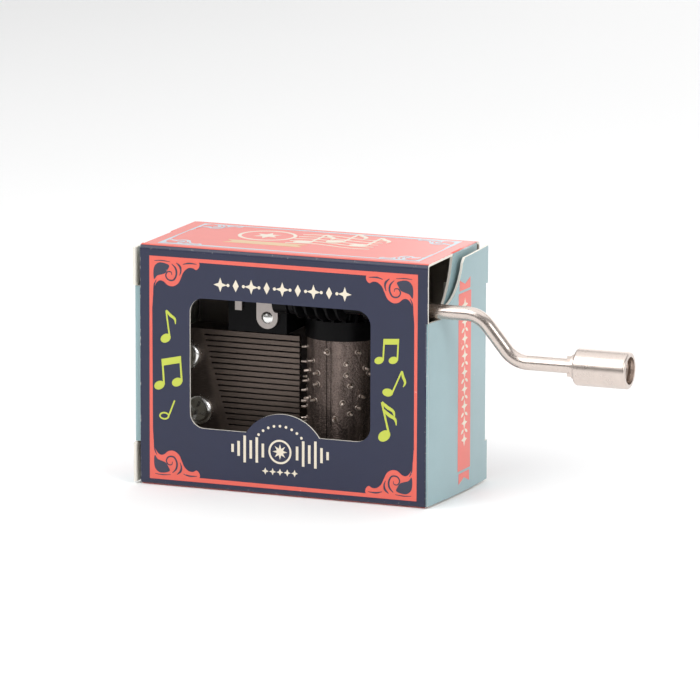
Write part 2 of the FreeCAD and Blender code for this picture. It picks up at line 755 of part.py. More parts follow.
# --------------------------------------------------------------------------
# Cast frame
# --------------------------------------------------------------------------
def base_frame():
    """One casting: back plate, comb pedestal, drum lugs, crank arm and rear pads."""
    thick = size("frame_thick")
    plate_width = size("frame_width")
    body = new_body("FramePlate")
    face = sketch_on(body, "Plate", "xz", -plate_back)
    rectangle(face, (plate_left, plate_low), (plate_left + plate_width, plate_high))
    pad(body, face, thick)
    corners = edges_where(body.Tip.Shape, lambda a, b: near(a.x, b.x) and near(a.z, b.z))
    fillet(body, corners, size("frame_corner"), "Corners")

    solids = [body]
    pedestal_low = comb_low + size("pedestal_inset")
    solids.append(block("Pedestal", (left + size("comb_left"), comb_back, pedestal_low),
                        (size("pedestal_width"), plate_y - comb_back,
                         comb_span - size("pedestal_inset") * 2)))
    lug = size("lug_width")
    for name, z in (("LowLug", lug_low_top - size("lug_thick")), ("HighLug", lug_high_floor)):
        tall = size("lug_thick")
        solids.append(block(name, (drum_x - lug / 2, drum_y, z), (lug, plate_y - drum_y, tall)))
        solids.append(rod(name + "Nose", lug / 2, tall, (drum_x, drum_y, z)))
    arm_x = left + size("arm_from_left")
    arm = size("arm_height")
    arm_thick = size("arm_thick")
    solids.append(block("Arm", (arm_x, crank_y, crank_z - arm / 2), (arm_thick, plate_y - crank_y, arm)))
    solids.append(rod("ArmNose", arm / 2, arm_thick, (arm_x, crank_y, crank_z), "x"))
    pad_reach = rear - card * 2 - size("fit_gap") - plate_back
    pad_size = size("pad_size")
    inset = size("pad_inset")
    for x in (plate_left + inset, plate_left + plate_width - inset - pad_size):
        for z in (plate_low + inset, plate_high - inset - pad_size):
            solids.append(block("RearPad", (x, plate_back, z), (pad_size, pad_reach, pad_size)))
    casting = fused("Casting", solids)

    holes = [rod("ArborHole", size("arbor_radius"), plate_high - plate_low, (drum_x, drum_y, plate_low))]
    holes.append(rod("BushHole", wire_bore + size("bush_wall"), size("arm_thick") * 2,
                     (arm_x - size("arm_thick") / 2, crank_y, crank_z), "x"))
    for number, (x, z) in enumerate(comb_screw_places()):
        holes.append(rod("CombTap%d" % number, size("screw_radius"), size("screw_length"),
                         (x, comb_y, z), "y"))
    for number, (x, z) in enumerate(block_screw_places()):
        holes.append(rod("BlockHole%d" % number, size("block_screw_radius") + size("screw_hole_gap"),
                         thick * 2, (x, plate_y - thick / 2, z), "y"))
        holes.append(rod("HeadSeat%d" % number, size("block_screw_head") + size("screw_hole_gap"),
                         thick, (x, plate_back - size("block_head_sink"), z), "y"))
    return keep("base_frame", less("Frame", casting, holes))


def comb_screw_places():
    """Centres of the two comb screws."""
    upper_z = comb_high - size("screw_drop")
    upper_x = left + size("screw_left")
    return [(upper_x, upper_z), (upper_x + size("screw_slant"), upper_z - size("screw_spacing"))]


def block_screw_places():
    """Centres of the two screws that hold the bearing block."""
    inset = size("block_screw_inset")
    mid_z = crank_z + (size("block_above") - size("block_below")) / 2
    return [(block_x + inset, mid_z), (block_x + size("block_width") - inset, mid_z)]


# --------------------------------------------------------------------------
# Comb and what is on it
# --------------------------------------------------------------------------
def comb():
    """Steel comb: thick root, thin teeth, slots that get shorter towards the treble end."""
    body = new_body("comb")
    comb_left = left + size("comb_left")
    slot_start = left + size("slot_start")
    slant = size("slot_slant")
    face = sketch_on(body, "Face", "xz", -comb_y)
    rectangle(face, (comb_left, comb_low), (comb_tip, comb_high))
    pad(body, face, size("comb_thick"), reverse=True)
    relief = sketch_on(body, "Relief", "xz", -comb_back)
    root_gap = size("note_pitch")
    outline(relief, (slot_start + root_gap, comb_high), [
        (slot_start + slant + root_gap, comb_low),
        (comb_tip, comb_low),
        (comb_tip, comb_high),
        (slot_start + root_gap, comb_high),
    ])
    pocket(body, relief, size("comb_thick") - size("tooth_thick"), reverse=True, name="Grind")
    slots = sketch_on(body, "Slots", "xz", -comb_y)
    count = int(size("notes").value)
    half_slot = size("slot_width") / 2
    for number in range(1, count):
        z = comb_high - size("note_pitch") * number
        start = slot_start + slant * ((number - 1) / (count - 2))
        rectangle(slots, (start, z - half_slot), (comb_tip + half_slot, z + half_slot))
    pocket(body, slots, size("comb_thick"), name="Slotting")
    holes = sketch_on(body, "Holes", "xz", -comb_y)
    for place_xz in comb_screw_places():
        circle(holes, place_xz, size("screw_radius") + size("screw_hole_gap"))
    pocket(body, holes, size("comb_thick"), name="ScrewHoles")
    return keep("comb", body)


def group(node, shapes):
    """Several separate solids that share one node."""
    feature = doc.addObject("Part::Feature", node)
    feature.Shape = Part.makeCompound(shapes)
    return keep(node, feature)


HEAD_ROUNDING = 0.6  # share of a pan head's height that its rounding takes
RECESS_TURN = 20.0   # degrees that a tightened screw's recess is turned


def solid_screw(radius, length, head_radius, head_height, recess):
    """A pan-head screw along +Y, its head's underside at the origin; recess is width, length, depth."""
    shank = Part.makeCylinder(radius, length, Vector(0, 0, 0), Vector(0, 1, 0))
    head = Part.makeCylinder(head_radius, head_height, Vector(0, -head_height, 0), Vector(0, 1, 0))
    rim = [edge for edge in head.Edges if near(edge.BoundBox.YMax, -head_height)]
    head = head.makeFillet(head_height * HEAD_ROUNDING, rim)
    screw = shank.fuse(head).removeSplitter()
    arm, across, deep = recess
    for turn in (RECESS_TURN, RECESS_TURN + RIGHT_ANGLE):
        slot = Part.makeBox(across, deep, arm)
        slot.translate(Vector(-across / 2, -head_height, -arm / 2))
        slot.rotate(Vector(0, 0, 0), Vector(0, 1, 0), turn)
        screw = screw.cut(slot)
    return screw


def comb_screws():
    """Two cross-recessed pan-head screws that clamp the comb to the pedestal."""
    one = solid_screw(
        size("screw_radius").value, size("screw_length").value,
        size("screw_head_radius").value, size("screw_head_height").value,
        (size("recess_width").value, size("recess_length").value, size("recess_depth").value))
    shapes = []
    for x, z in comb_screw_places():
        shapes.append(one.translated(Vector(x.value, comb_y.value, z.value)))
    return group("comb_screws", shapes)


def block_screws():
    """Two screws through the back plate into the bearing block."""
    one = solid_screw(
        size("block_screw_radius").value, size("block_screw_length").value,
        size("block_screw_head").value, size("block_screw_head_height").value,
        (size("recess_width").value, size("block_recess_length").value, size("block_recess_depth").value))
    one.rotate(Vector(0, 0, 0), Vector(0, 0, 1), HALF_TURN)
    shapes = []
    for x, z in block_screw_places():
        seat_y = plate_back - size("block_head_sink")
        shapes.append(one.translated(Vector(x.value, seat_y.value, z.value)))
    return group("block_screws", shapes)


def tooth_centre(number):
    """Height of a tooth's middle, counted from the bass end at the top."""
    return comb_high.value - size("note_pitch").value * (number + 0.5)


def comb_weights():
    """Lead weights soldered behind the bass teeth, shorter from note to note."""
    tall = size("note_pitch").value - size("slot_width").value
    shapes = []
    count = int(size("weighted_notes").value)
    far_end = comb_tip.value - size("damper_length").value - size("weight_gap").value
    for number in range(count):
        long = size("weight_length").value * (1 - number / (count + 1))
        shapes.append(Part.makeBox(
            long, size("weight_depth").value, tall,
            Vector(far_end - long, tooth_back.value, tooth_centre(number) - tall / 2)))
    return group("comb_weights", shapes)


def comb_dampers():
    """Strips of damper film behind the tips of the lower notes."""
    tall = size("damper_width").value
    long = size("damper_length").value
    start = comb_tip.value - long - size("pick_gap").value
    shapes = []
    for number in range(int(size("damped_notes").value)):
        shapes.append(Part.makeBox(
            long, size("damper_thick").value, tall,
            Vector(start, tooth_back.value, tooth_centre(number) - tall / 2)))
    return group("comb_dampers", shapes)


# --------------------------------------------------------------------------
# Bearings
# --------------------------------------------------------------------------
def bearing_block():
    """Moulded block: a foot on the back plate and a nose that carries the wire's inner end."""
    foot_low = crank_z - size("block_below")
    tall = size("block_below") + size("block_above")
    foot = block("Foot", (block_x, block_y, foot_low), (size("block_width"), plate_y - block_y, tall))
    nose_half = wire_bore + size("nose_wall")
    nose_x = left + size("nose_start")
    nose_length = size("nose_length")
    web = block("NoseWeb", (nose_x, crank_y, crank_z - nose_half),
                (nose_length, size("block_face") + card, nose_half * 2))
    nose = rod("Nose", nose_half, nose_length, (nose_x, crank_y, crank_z), "x")
    bore = rod("NoseBore", wire_bore, nose_length,
               (nose_x + nose_length - size("journal_length") - play * 2, crank_y, crank_z), "x")
    holes = [bore]
    for number, (x, z) in enumerate(rivet_places()):
        holes.append(rod("RivetHole%d" % number, size("rivet_radius"), size("rivet_length"),
                         (x, block_y - size("strap_thick"), z), "y"))
    deep = size("block_screw_length") - size("frame_thick") + size("block_head_sink")
    for number, (x, z) in enumerate(block_screw_places()):
        holes.append(rod("BlockTap%d" % number, size("block_screw_radius"), deep + card,
                         (x, plate_y - deep, z), "y"))
    return keep("bearing_block", less("Bearing", fused("BearingBody", [foot, web, nose]), holes))


def rivet_places():
    """Centres of the strap's two rivets: in the tongue's round end and in the bar above it."""
    x = left + size("tongue_from_left")
    return [(x, crank_z - size("tongue_drop")), (x, crank_z + size("strap_above") / 2)]


def shaft_strap():
    """Sheet-steel strap with a bar, a long round-ended tongue and a small tab."""
    thick = size("strap_thick")
    y = block_y - thick
    tongue_x = left + size("tongue_from_left")
    radius = size("tongue_radius")
    end_z = crank_z - size("tongue_drop")
    top = crank_z + size("strap_above")
    bar_low = crank_z - size("strap_drop")
    tab_x = left + size("tab_from_left")
    tab = size("tab_width")
    body = new_body("shaft_strap")
    face = sketch_on(body, "Face", "xz", -y)
    outline(face, (tab_x - tab / 2, crank_z - size("tab_drop")), [
        (tab_x + tab / 2, crank_z - size("tab_drop")),
        (tab_x + tab / 2, bar_low),
        (tongue_x - radius, bar_low),
        (tongue_x - radius, end_z),
        ((tongue_x, end_z - radius), radius, 1),
        ((tongue_x + radius, end_z), radius, 1),
        (tongue_x + radius, top),
        (tab_x - tab / 2, top),
        (tab_x - tab / 2, crank_z - size("tab_drop")),
    ])
    pad(body, face, thick, reverse=True)
    holes = sketch_on(body, "Holes", "xz", -y)
    for place_xz in rivet_places():
        circle(holes, place_xz, size("rivet_radius"))
    pocket(body, holes, thick, name="RivetHoles")
    return keep("shaft_strap", body)


def strap_rivets():
    """Two dome-headed rivets."""
    radius = size("rivet_head_radius").value
    rise = size("rivet_head_height").value
    shank = Part.makeCylinder(size("rivet_radius").value, size("rivet_length").value - TOUCH,
                              Vector(0, 0, 0), Vector(0, 1, 0))
    ball = (radius ** 2 + rise ** 2) / (2 * rise)
    dome = Part.makeSphere(ball, Vector(0, ball - rise, 0))
    dome = dome.common(Part.makeCylinder(radius * 2, rise, Vector(0, -rise, 0), Vector(0, 1, 0)))
    one = shank.fuse(dome).removeSplitter()
    shapes = []
    for x, z in rivet_places():
        shapes.append(one.translated(Vector(x.value, block_y.value - size("strap_thick").value, z.value)))
    return group("strap_rivets", shapes)


def crank_bush():
    """Flanged bush that the wire turns in where it leaves the frame."""
    arm_x = left + size("arm_from_left")
    flange = size("bush_flange")
    outside = wire_bore + size("bush_wall")
    start = (arm_x - flange, crank_y, crank_z)
    long = flange + size("arm_thick")
    spool = fused("BushBody", [
        rod("BushTube", outside, long, start, "x"),
        rod("BushFlange", outside + size("bush_flange_proud"), flange, start, "x"),
    ])
    hole = rod("BushBore", wire_bore, long, start, "x")
    return keep("crank_bush", less("Bush", spool, [hole]))


def drum_arbor():
    """Fixed steel arbor pressed into both lugs; the drum turns on it."""
    low = lug_low_top - size("lug_thick")
    high = lug_high_floor + size("lug_thick")
    return keep("drum_arbor", rod("Arbor", size("arbor_radius"), high - low, (drum_x, drum_y, low)))


# --------------------------------------------------------------------------
# Drum
# --------------------------------------------------------------------------
# The tune: for each beat of the turn, the comb teeth that it plucks, counted from the bass end.
BEATS = 60
TUNE = {
    34: [9, 11, 12, 14], 35: [1], 36: [7], 37: [5, 10], 39: [3], 40: [10], 41: [5, 7], 44: [1],
    46: [13], 48: [10], 49: [3, 5], 50: [7, 12], 52: [1, 11], 53: [9], 54: [4], 55: [5],
    57: [2, 8], 59: [13], 1: [6, 10], 3: [3], 5: [8, 12], 7: [1, 15], 9: [5], 11: [9, 14],
    13: [2, 7], 15: [11], 17: [4, 13], 19: [6], 21: [0, 10], 23: [3, 8, 16], 25: [12],
    27: [5, 17], 29: [2, 9], 31: [7, 15], 33: [4],
}


def drum_shell():
    """Rolled sheet drum with an open seam and the pins pressed out of it."""
    radius = size("drum_radius")
    tube = less("DrumTube", rod("DrumOuter", radius, shell_length, (0, 0, 0)), [
        rod("DrumInner", radius - size("drum_wall"), shell_length, (0, 0, 0)),
        block("DrumSeam", (-size("seam_gap") / 2, -radius - size("drum_wall") / 2, 0),
              (size("seam_gap"), size("drum_wall") * 2, shell_length)),
    ])
    pins = []
    start = radius - size("drum_wall") / 2
    for beat, notes in TUNE.items():
        turn = Rotation(Vector(0, 0, 1), FULL_TURN * beat / BEATS)
        for note in notes:
            pin = doc.addObject("Part::Cone", "Pin")
            bind(pin, "Radius1", size("pin_root"))
            bind(pin, "Radius2", size("pin_tip"))
            bind(pin, "Height", pin_circle - start)
            direction = turn.multVec(Vector(1, 0, 0))
            z = comb_high - shell_low - size("note_pitch") * (note + 0.5)
            place(pin, (start * direction.x, start * direction.y, z), turn.multiply(ALONG["x"]))
            pins.append(pin)
    drum = fused("Drum", [tube] + pins)
    place(drum, (drum_x, drum_y, shell_low))
    return keep("drum_shell", drum)


PRESSURE_ANGLE = 20.0


def wheel_outline(turn, z):
    """The wheel's toothed section, turned by an angle in degrees."""
    pitch_radius = wheel_pitch.value
    tip = pitch_radius + module.value
    foot = pitch_radius - tooth_foot.value
    lean = math.tan(math.radians(PRESSURE_ANGLE))
    half_pitch = (tooth_pitch.value / 2 - size("tooth_play").value) / 2
    half_tip = half_pitch - module.value * lean
    half_foot = half_pitch + tooth_foot.value * lean
    count = int(teeth.value)
    points = []
    for tooth in range(count):
        middle = -RIGHT_ANGLE + FULL_TURN * (tooth + 0.5) / count + turn
        for radius, half in ((foot, -half_foot), (tip, -half_tip), (tip, half_tip), (foot, half_foot)):
            angle = math.radians(middle) + half / radius
            points.append(Vector(radius * math.cos(angle), radius * math.sin(angle), z))
    return Part.makePolygon(points + [points[0]])


def drum_wheel():
    """Moulded worm wheel: helical teeth, a plain band, a spigot inside the drum and a bore."""
    face = wheel_high.value - wheel_low.value
    half_below = size("wheel_below").value
    twist = math.degrees(math.tan(math.radians(lead_angle.value)) / wheel_pitch.value)
    levels = [0.0, half_below, face]
    sections = [wheel_outline(twist * (z - half_below), z) for z in levels]
    crown = Part.makeLoft(sections, True, True)
    band_height = size("band_height").value
    spigot = size("spigot").value
    band_radius = size("drum_radius").value + size("band_proud").value
    band = Part.makeCylinder(band_radius, band_height, Vector(0, 0, -band_height))
    inside = size("drum_radius").value - size("drum_wall").value
    plug = Part.makeCylinder(inside, spigot, Vector(0, 0, -band_height - spigot))
    bore = Part.makeCylinder(size("arbor_radius").value + play.value, face + band_height + spigot,
                             Vector(0, 0, -band_height - spigot))
    feature = doc.addObject("Part::Feature", "Wheel")
    feature.Shape = crown.fuse([band, plug]).cut(bore)
    place(feature, (drum_x, drum_y, wheel_low))
    return keep("drum_wheel", feature)


def drum_cap():
    """Lower cap of the drum, with the second bore."""
    inside = size("drum_radius") - size("drum_wall")
    flange = rod("CapFlange", size("drum_radius") - play * 2, size("cap_height"), (0, 0, 0))
    plug = rod("CapPlug", inside, size("cap_height") + size("spigot"), (0, 0, 0))
    bore = rod("CapBore", size("arbor_radius") + play, size("cap_height") + size("spigot"), (0, 0, 0))
    cap = less("Cap", fused("CapBody", [flange, plug]), [bore])
    return keep("drum_cap", place(cap, (drum_x, drum_y, cap_low)))


# --------------------------------------------------------------------------
# Worm, crank and knob
# --------------------------------------------------------------------------
worm_left = left + size("nose_start") + size("nose_length") + size("thrust_gap")
worm_right = left + size("arm_from_left") - size("bush_flange") - size("thrust_gap")


def worm():
    """Single-start right-hand worm pressed on the wire, with a collar at each end."""
    body = new_body("worm")
    core = sketch_on(body, "Core", "yz", worm_left - drum_x)
    circle(core, (0, 0), worm_root)
    pad(body, core, worm_right - worm_left, name="Core")
    thread_start = -tooth_pitch * size("worm_turns") / 2 - tooth_pitch / 2
    lean = math.tan(math.radians(PRESSURE_ANGLE))
    half_pitch = (tooth_pitch / 2 - size("tooth_play")) / 2
    half_tip = half_pitch - module * lean
    sunk = size("thread_sunk")
    half_foot = half_pitch + (tooth_foot + sunk) * lean
    tooth = sketch_on(body, "Tooth", "xy")
    outline(tooth, (thread_start - half_foot, worm_root - sunk), [
        (thread_start + half_foot, worm_root - sunk),
        (thread_start + half_tip, worm_tip),
        (thread_start - half_tip, worm_tip),
        (thread_start - half_foot, worm_root - sunk),
    ])
    doc.recompute()
    thread = body.newObject("PartDesign::AdditiveHelix", "Thread")
    thread.Profile = tooth
    thread.ReferenceAxis = (tooth, ["H_Axis"])
    thread.Mode = 0
    bind(thread, "Pitch", tooth_pitch)
    bind(thread, "Height", tooth_pitch * size("worm_turns"))
    thread.LeftHanded = False
    doc.recompute()
    collar = size("worm_collar")
    for name, start in (("LeftCollar", worm_left), ("RightCollar", worm_right - collar)):
        ring = sketch_on(body, name + "Sketch", "yz", start - drum_x)
        circle(ring, (0, 0), size("collar_radius"))
        pad(body, ring, collar, name=name)
    bore = sketch_on(body, "Bore", "yz", worm_left - drum_x)
    circle(bore, (0, 0), wire_radius)
    pocket(body, bore, worm_right - worm_left, reverse=True, name="BoreCut")
    return keep("worm", place(body, (drum_x, crank_y, crank_z)))


def crank_wire():
    """Bent wire: straight through the worm, down a slope and straight again to the knob."""
    start = left + size("nose_start") + size("nose_length") - size("journal_length")
    slope = size("crank_slope")
    throw = size("crank_throw")
    bend = size("crank_bend")
    tangent = bend * function("tan", slope / 2)
    one = right + size("crank_straight")
    two = one + throw / function("tan", slope)
    run_x = function("cos", slope)
    run_z = function("sin", slope)
    end = right + size("knob_from_side") + size("knob_length") - size("knob_recess")
    body = new_body("crank_wire")
    path = sketch_on(body, "Path", "xz")
    corners = [
        (start, 0), (one - tangent, 0),
        (one + tangent * run_x, -tangent * run_z),
        (two - tangent * run_x, tangent * run_z - throw),
        (two + tangent, -throw), (end, -throw)]
    open_path(path, corners, {1: (bend, -1), 3: (bend, 1)})
    section = sketch_on(body, "Section", "yz", start)
    circle(section, (0, 0), wire_radius)
    doc.recompute()
    pipe = body.newObject("PartDesign::AdditivePipe", "Wire")
    pipe.Profile = section
    pipe.Spine = path
    doc.recompute()
    head = sketch_on(body, "Head", "yz", end)
    circle(head, (0, -throw), wire_radius + size("head_proud"))
    pad(body, head, size("head_height"), name="PeenedHead")
    ears = sketch_on(body, "Ears", "yz", right + size("knob_from_side") - size("knob_collar")
                     - size("thrust_gap") - size("ear_length"))
    half_thick = size("ear_thick") / 2
    half_wide = wire_radius + size("ear_proud")
    rectangle(ears, (-half_thick, -throw - half_wide), (half_thick, -throw + half_wide))
    pad(body, ears, size("ear_length"), name="CrimpedEars")
    return keep("crank_wire", place(body, (0, crank_y, crank_z)))


def open_path(sketch, points, arcs):
    """An open path; arcs maps a step to its radius and the side of its centre."""
    plain = [Vector(Size.of(p[0]).value, Size.of(p[1]).value, 0) for p in points]
    last = None
    for index in range(len(points) - 1):
        one = plain[index]
        two = plain[index + 1]
        ends = (1, 2)
        if index in arcs:
            radius, side = arcs[index]
            chord = two - one
            half = chord.Length / 2
            normal = Vector(-chord.y, chord.x, 0).normalize()
            centre = (one + two) / 2 + normal * (math.sqrt(radius.value ** 2 - half ** 2) * side)
            middle = centre + ((one + two) / 2 - centre).normalize() * radius.value
            sketch.addGeometry(Part.Arc(one, middle, two))
            ends = (1, 2) if side > 0 else (2, 1)
            number = sketch.addConstraint(Sketcher.Constraint("Radius", index, radius.value))
            sketch.setExpression("Constraints[%d]" % number, radius.text)
        else:
            sketch.addGeometry(Part.LineSegment(one, two))
        if last is not None:
            sketch.addConstraint(Sketcher.Constraint("Coincident", index - 1, last, index, ends[0]))
        pin_point(sketch, index, ends[0], points[index])
        last = ends[1]
    pin_point(sketch, len(points) - 2, last, points[-1])


def crank_knob():
    """Turned knob that spins on the wire, with a collar and a recess for the peened head."""
    body = new_body("crank_knob")
    profile = sketch_on(body, "Profile", "xy")
    bore = wire_bore
    knob = size("knob_radius")
    edge = size("knob_edge")
    long = size("knob_length")
    collar = size("knob_collar")
    recess = wire_radius + size("head_proud") + size("knob_recess_gap")
    collar_radius = wire_bore + size("knob_collar_wall")
    floor = long - size("knob_recess") - play * 2
    outline(profile, (-collar, bore), [
        (floor, bore),
        (floor, recess),
        (long, recess),
        (long, knob - edge),
        ((long - edge, knob), edge, 1),
        (edge, knob),
        ((0, knob - edge), edge, 1),
        (0, collar_radius),
        (-collar, collar_radius),
        (-collar, bore),
    ])
    revolve(body, profile, "H_Axis")
    shoulder = (right + size("knob_from_side"), crank_y, crank_z - size("crank_throw"))
    return keep("crank_knob", place(body, shoulder))


# --------------------------------------------------------------------------
# Build, check and write
# --------------------------------------------------------------------------
def build():
    """Make every sub-part."""
    carton_sleeve()
    for side in ("right", "left"):
        tilt = size(side + "_bow_tilt")
        end_panel(side, tilt)
        tuck_flap(side, tilt)
        for level in ("top", "bottom"):
            dust_flap(side, level)
    base_frame()
    comb()
    comb_screws()
    comb_weights()
    comb_dampers()
    bearing_block()
    block_screws()
    shaft_strap()
    strap_rivets()
    crank_bush()
    drum_arbor()
    drum_shell()
    drum_wheel()
    drum_cap()
    worm()
    crank_wire()
    crank_knob()
    doc.recompute()


def check():
    """Stop on any failed object or unsound sub-part."""
    for obj in doc.Objects:
        for fault in ("Invalid", "Error"):
            if fault in obj.State:
                raise RuntimeError("%s is %s" % (obj.Label, fault))
    for node, obj in PARTS.items():
        if obj.Shape.isNull() or not obj.Shape.isValid() or not obj.Shape.Solids:
            raise RuntimeError(node + " has no sound solid")


def write():
    """Write each sub-part to its own file."""
    os.makedirs("parts", exist_ok=True)
    for node, obj in PARTS.items():
        obj.Shape.exportStep(os.path.join("parts", node + ".step"))
        print("%-24s solids %d  volume %.2f" % (node, len(obj.Shape.Solids), obj.Shape.Volume))


build()
check()
write()
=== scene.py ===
"""Prints, finishes and lights a pocket hand-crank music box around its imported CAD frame.

Row frame: +X towards the crank, -Y is the window side, +Z up. Metres throughout.
Artwork is laid out in millimetres on flat sheets and then wrapped onto the card.
"""
import json
import math

import bmesh
import bpy
from bpy.props import FloatProperty, FloatVectorProperty, IntProperty, PointerProperty
from mathutils import Matrix, Vector


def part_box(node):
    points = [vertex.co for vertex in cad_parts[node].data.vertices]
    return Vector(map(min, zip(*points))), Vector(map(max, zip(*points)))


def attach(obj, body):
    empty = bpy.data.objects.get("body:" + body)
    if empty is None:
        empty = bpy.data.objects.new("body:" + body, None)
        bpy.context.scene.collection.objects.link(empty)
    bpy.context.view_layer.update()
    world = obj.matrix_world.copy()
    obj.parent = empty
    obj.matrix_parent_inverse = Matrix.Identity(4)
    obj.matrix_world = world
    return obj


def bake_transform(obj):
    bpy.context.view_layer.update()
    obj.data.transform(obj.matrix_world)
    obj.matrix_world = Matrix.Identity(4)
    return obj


bl_info = {
    "name": "Hand-crank music box looks",
    "version": (1, 0, 0),
    "blender": (4, 5, 0),
    "location": "View3D > Sidebar > Music box",
    "description": "Prints the carton and finishes the movement of a pocket hand-crank music box",
    "category": "Object",
}

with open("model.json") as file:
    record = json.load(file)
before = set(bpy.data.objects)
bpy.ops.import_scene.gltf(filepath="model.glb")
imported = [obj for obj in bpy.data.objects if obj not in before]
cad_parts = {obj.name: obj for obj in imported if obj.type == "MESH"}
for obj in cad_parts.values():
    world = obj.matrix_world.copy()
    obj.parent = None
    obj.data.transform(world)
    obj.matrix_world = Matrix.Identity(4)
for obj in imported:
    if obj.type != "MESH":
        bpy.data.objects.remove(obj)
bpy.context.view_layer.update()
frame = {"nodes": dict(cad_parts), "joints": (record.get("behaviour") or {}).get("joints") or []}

MM = 0.001


def paint(red, green, blue):
    """A display colour, 0 to 255 each, as scene-linear numbers."""
    linear = []
    for level in (red, green, blue):
        share = level / 255
        linear.append(share / 12.92 if share <= 0.04045 else ((share + 0.055) / 1.055) ** 2.4)
    return tuple(linear)


# --------------------------------------------------------------------------
# Places read from the frame
# --------------------------------------------------------------------------
sleeve_low, sleeve_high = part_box("carton_sleeve")
flap_low, flap_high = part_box("right_bottom_dust_flap")
card = flap_high.x - flap_low.x
fold_x = sleeve_high.x - card
fold_y = -sleeve_low.y - card
joint_places = {joint["name"]: Vector(joint["pos_m"]) for joint in frame["joints"]}
drum_axis = joint_places["drum_turn"]
cap_low, cap_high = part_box("drum_cap")
drum_radius = (cap_high.x - cap_low.x) / 2 + 0.0001


# --------------------------------------------------------------------------
# Sizes and colours that a user would change
# --------------------------------------------------------------------------
def colour_property(name, description, default):
    """A colour swatch."""
    return FloatVectorProperty(name=name, description=description, subtype="COLOR", size=3,
                               min=0.0, max=1.0, default=default)


def length_property(name, description, default):
    """A length in metres."""
    return FloatProperty(name=name, description=description, unit="LENGTH", min=0.0,
                         precision=6, default=default)


class CartonSettings(bpy.types.PropertyGroup):
    """Board and inks of the carton."""

    front_colour: colour_property("Front", "Ink of the front and back walls", paint(25, 31, 60))
    top_colour: colour_property("Top", "Ink of the top wall, frame lines and scrolls", paint(226, 92, 76))
    end_colour: colour_property("Ends", "Ink of the end panels and flaps", paint(140, 168, 173))
    line_colour: colour_property("Top border", "Ink of the border on the top wall", paint(176, 200, 210))
    cream_colour: colour_property("Cream", "Ink of the ornaments", paint(226, 216, 196))
    ribbon_colour: colour_property("Ribbon", "Ink of the banner on the top wall", paint(214, 172, 112))
    note_colour: colour_property("Notes", "Ink of the music notes", paint(190, 200, 62))
    board_colour: colour_property("Board", "Cut edges of the board", paint(232, 228, 218))
    # Liner: the sleeve's inside is greyed below the board's own pale tone, which the flap liner keeps, as
    # painted shade for the carton's dim inside.
    liner_painted_shade_colour: colour_property("Liner", "Unprinted inside of the board", paint(150, 142, 132))
    flap_liner_colour: colour_property("Flap liner", "Unprinted inside of the ends", paint(226, 224, 216))
    fold_radius: length_property("Fold radius", "Outside radius of the carton's long folds", 0.0009)
    ink_height: length_property("Ink height", "How far the ink stands off the board", 0.00002)
    ink_step: length_property("Ink step", "Height from one ink to the ink over it", 0.000006)


class MovementSettings(bpy.types.PropertyGroup):
    """Metals and plastics of the movement."""

    nickel_colour: colour_property("Nickel", "Crank and knob plating", (0.66, 0.575, 0.525))
    # Drum: the plate's dark, warm tone is painted shade and painted reflection of the carton's brown inside.
    drum_painted_shade_colour: colour_property("Drum", "Scuffed plate of the drum", (0.205, 0.160, 0.142))
    pin_colour: colour_property("Pins", "Fresh metal of the drum's pins", (0.80, 0.68, 0.60))
    # Comb: the steel's dark brown tone is painted shade and painted reflection of the carton's dim brown
    # inside.
    comb_painted_shade_colour: colour_property("Comb", "Ground spring steel of the comb", (0.165, 0.130, 0.112))
    zinc_colour: colour_property("Zinc", "Bright screws", (0.86, 0.86, 0.84))
    strap_colour: colour_property("Strap", "Steel strap over the crank wire", (0.42, 0.38, 0.36))
    # Casting: its dark brown is painted shade of the carton's dim inside.
    casting_painted_shade_colour: colour_property("Casting", "Die-cast frame", (0.15, 0.13, 0.12))
    plastic_colour: colour_property("Plastic", "Black moulded parts", (0.0030, 0.0028, 0.0032))
    lead_colour: colour_property("Lead", "Weights behind the bass teeth", (0.22, 0.22, 0.24))
    film_colour: colour_property("Film", "Damper film behind the teeth", (0.70, 0.66, 0.55))
    burr_radius: length_property("Burr radius", "Raised rim about a pin's root", 0.00044)
    burr_thick: length_property("Burr thickness", "Radius of that rim's section", 0.00009)


class StageSettings(bpy.types.PropertyGroup):
    """Floor, lights and camera."""

    azimuth: FloatProperty(name="Azimuth", description="Camera's angle round the object",
                           subtype="ANGLE", default=math.radians(21.496))
    elevation: FloatProperty(name="Elevation", description="Camera's angle above the horizon",
                             subtype="ANGLE", default=math.radians(11.257))
    roll: FloatProperty(name="Roll", description="Camera's turn about its own axis",
                        subtype="ANGLE", default=math.radians(0.17))
    distance: length_property("Distance", "Camera to what it looks at", 0.9608)
    aim: FloatVectorProperty(name="Aim", description="What the camera looks at", unit="LENGTH",
                             size=3, precision=5, default=(0.0076, -0.0005, 0.02383))
    lens: FloatProperty(name="Lens", description="Focal length in millimetres", min=1.0, default=288.3)
    floor_colour: colour_property("Floor", "Plain floor", (0.96, 0.96, 0.96))
    room_level: FloatProperty(name="Room", description="Strength of the room's light", min=0.0, default=0.80)
    light_share: FloatProperty(name="Lights", description="Strength of all the lamps", min=0.0, default=0.42)
    arc_steps: IntProperty(name="Arc steps", description="Steps of a fold's quarter round", min=2, default=8)


def carton():
    """The carton's settings."""
    return bpy.context.scene.music_box_carton


def movement():
    """The movement's settings."""
    return bpy.context.scene.music_box_movement


def stage():
    """The stage's settings."""
    return bpy.context.scene.music_box_stage


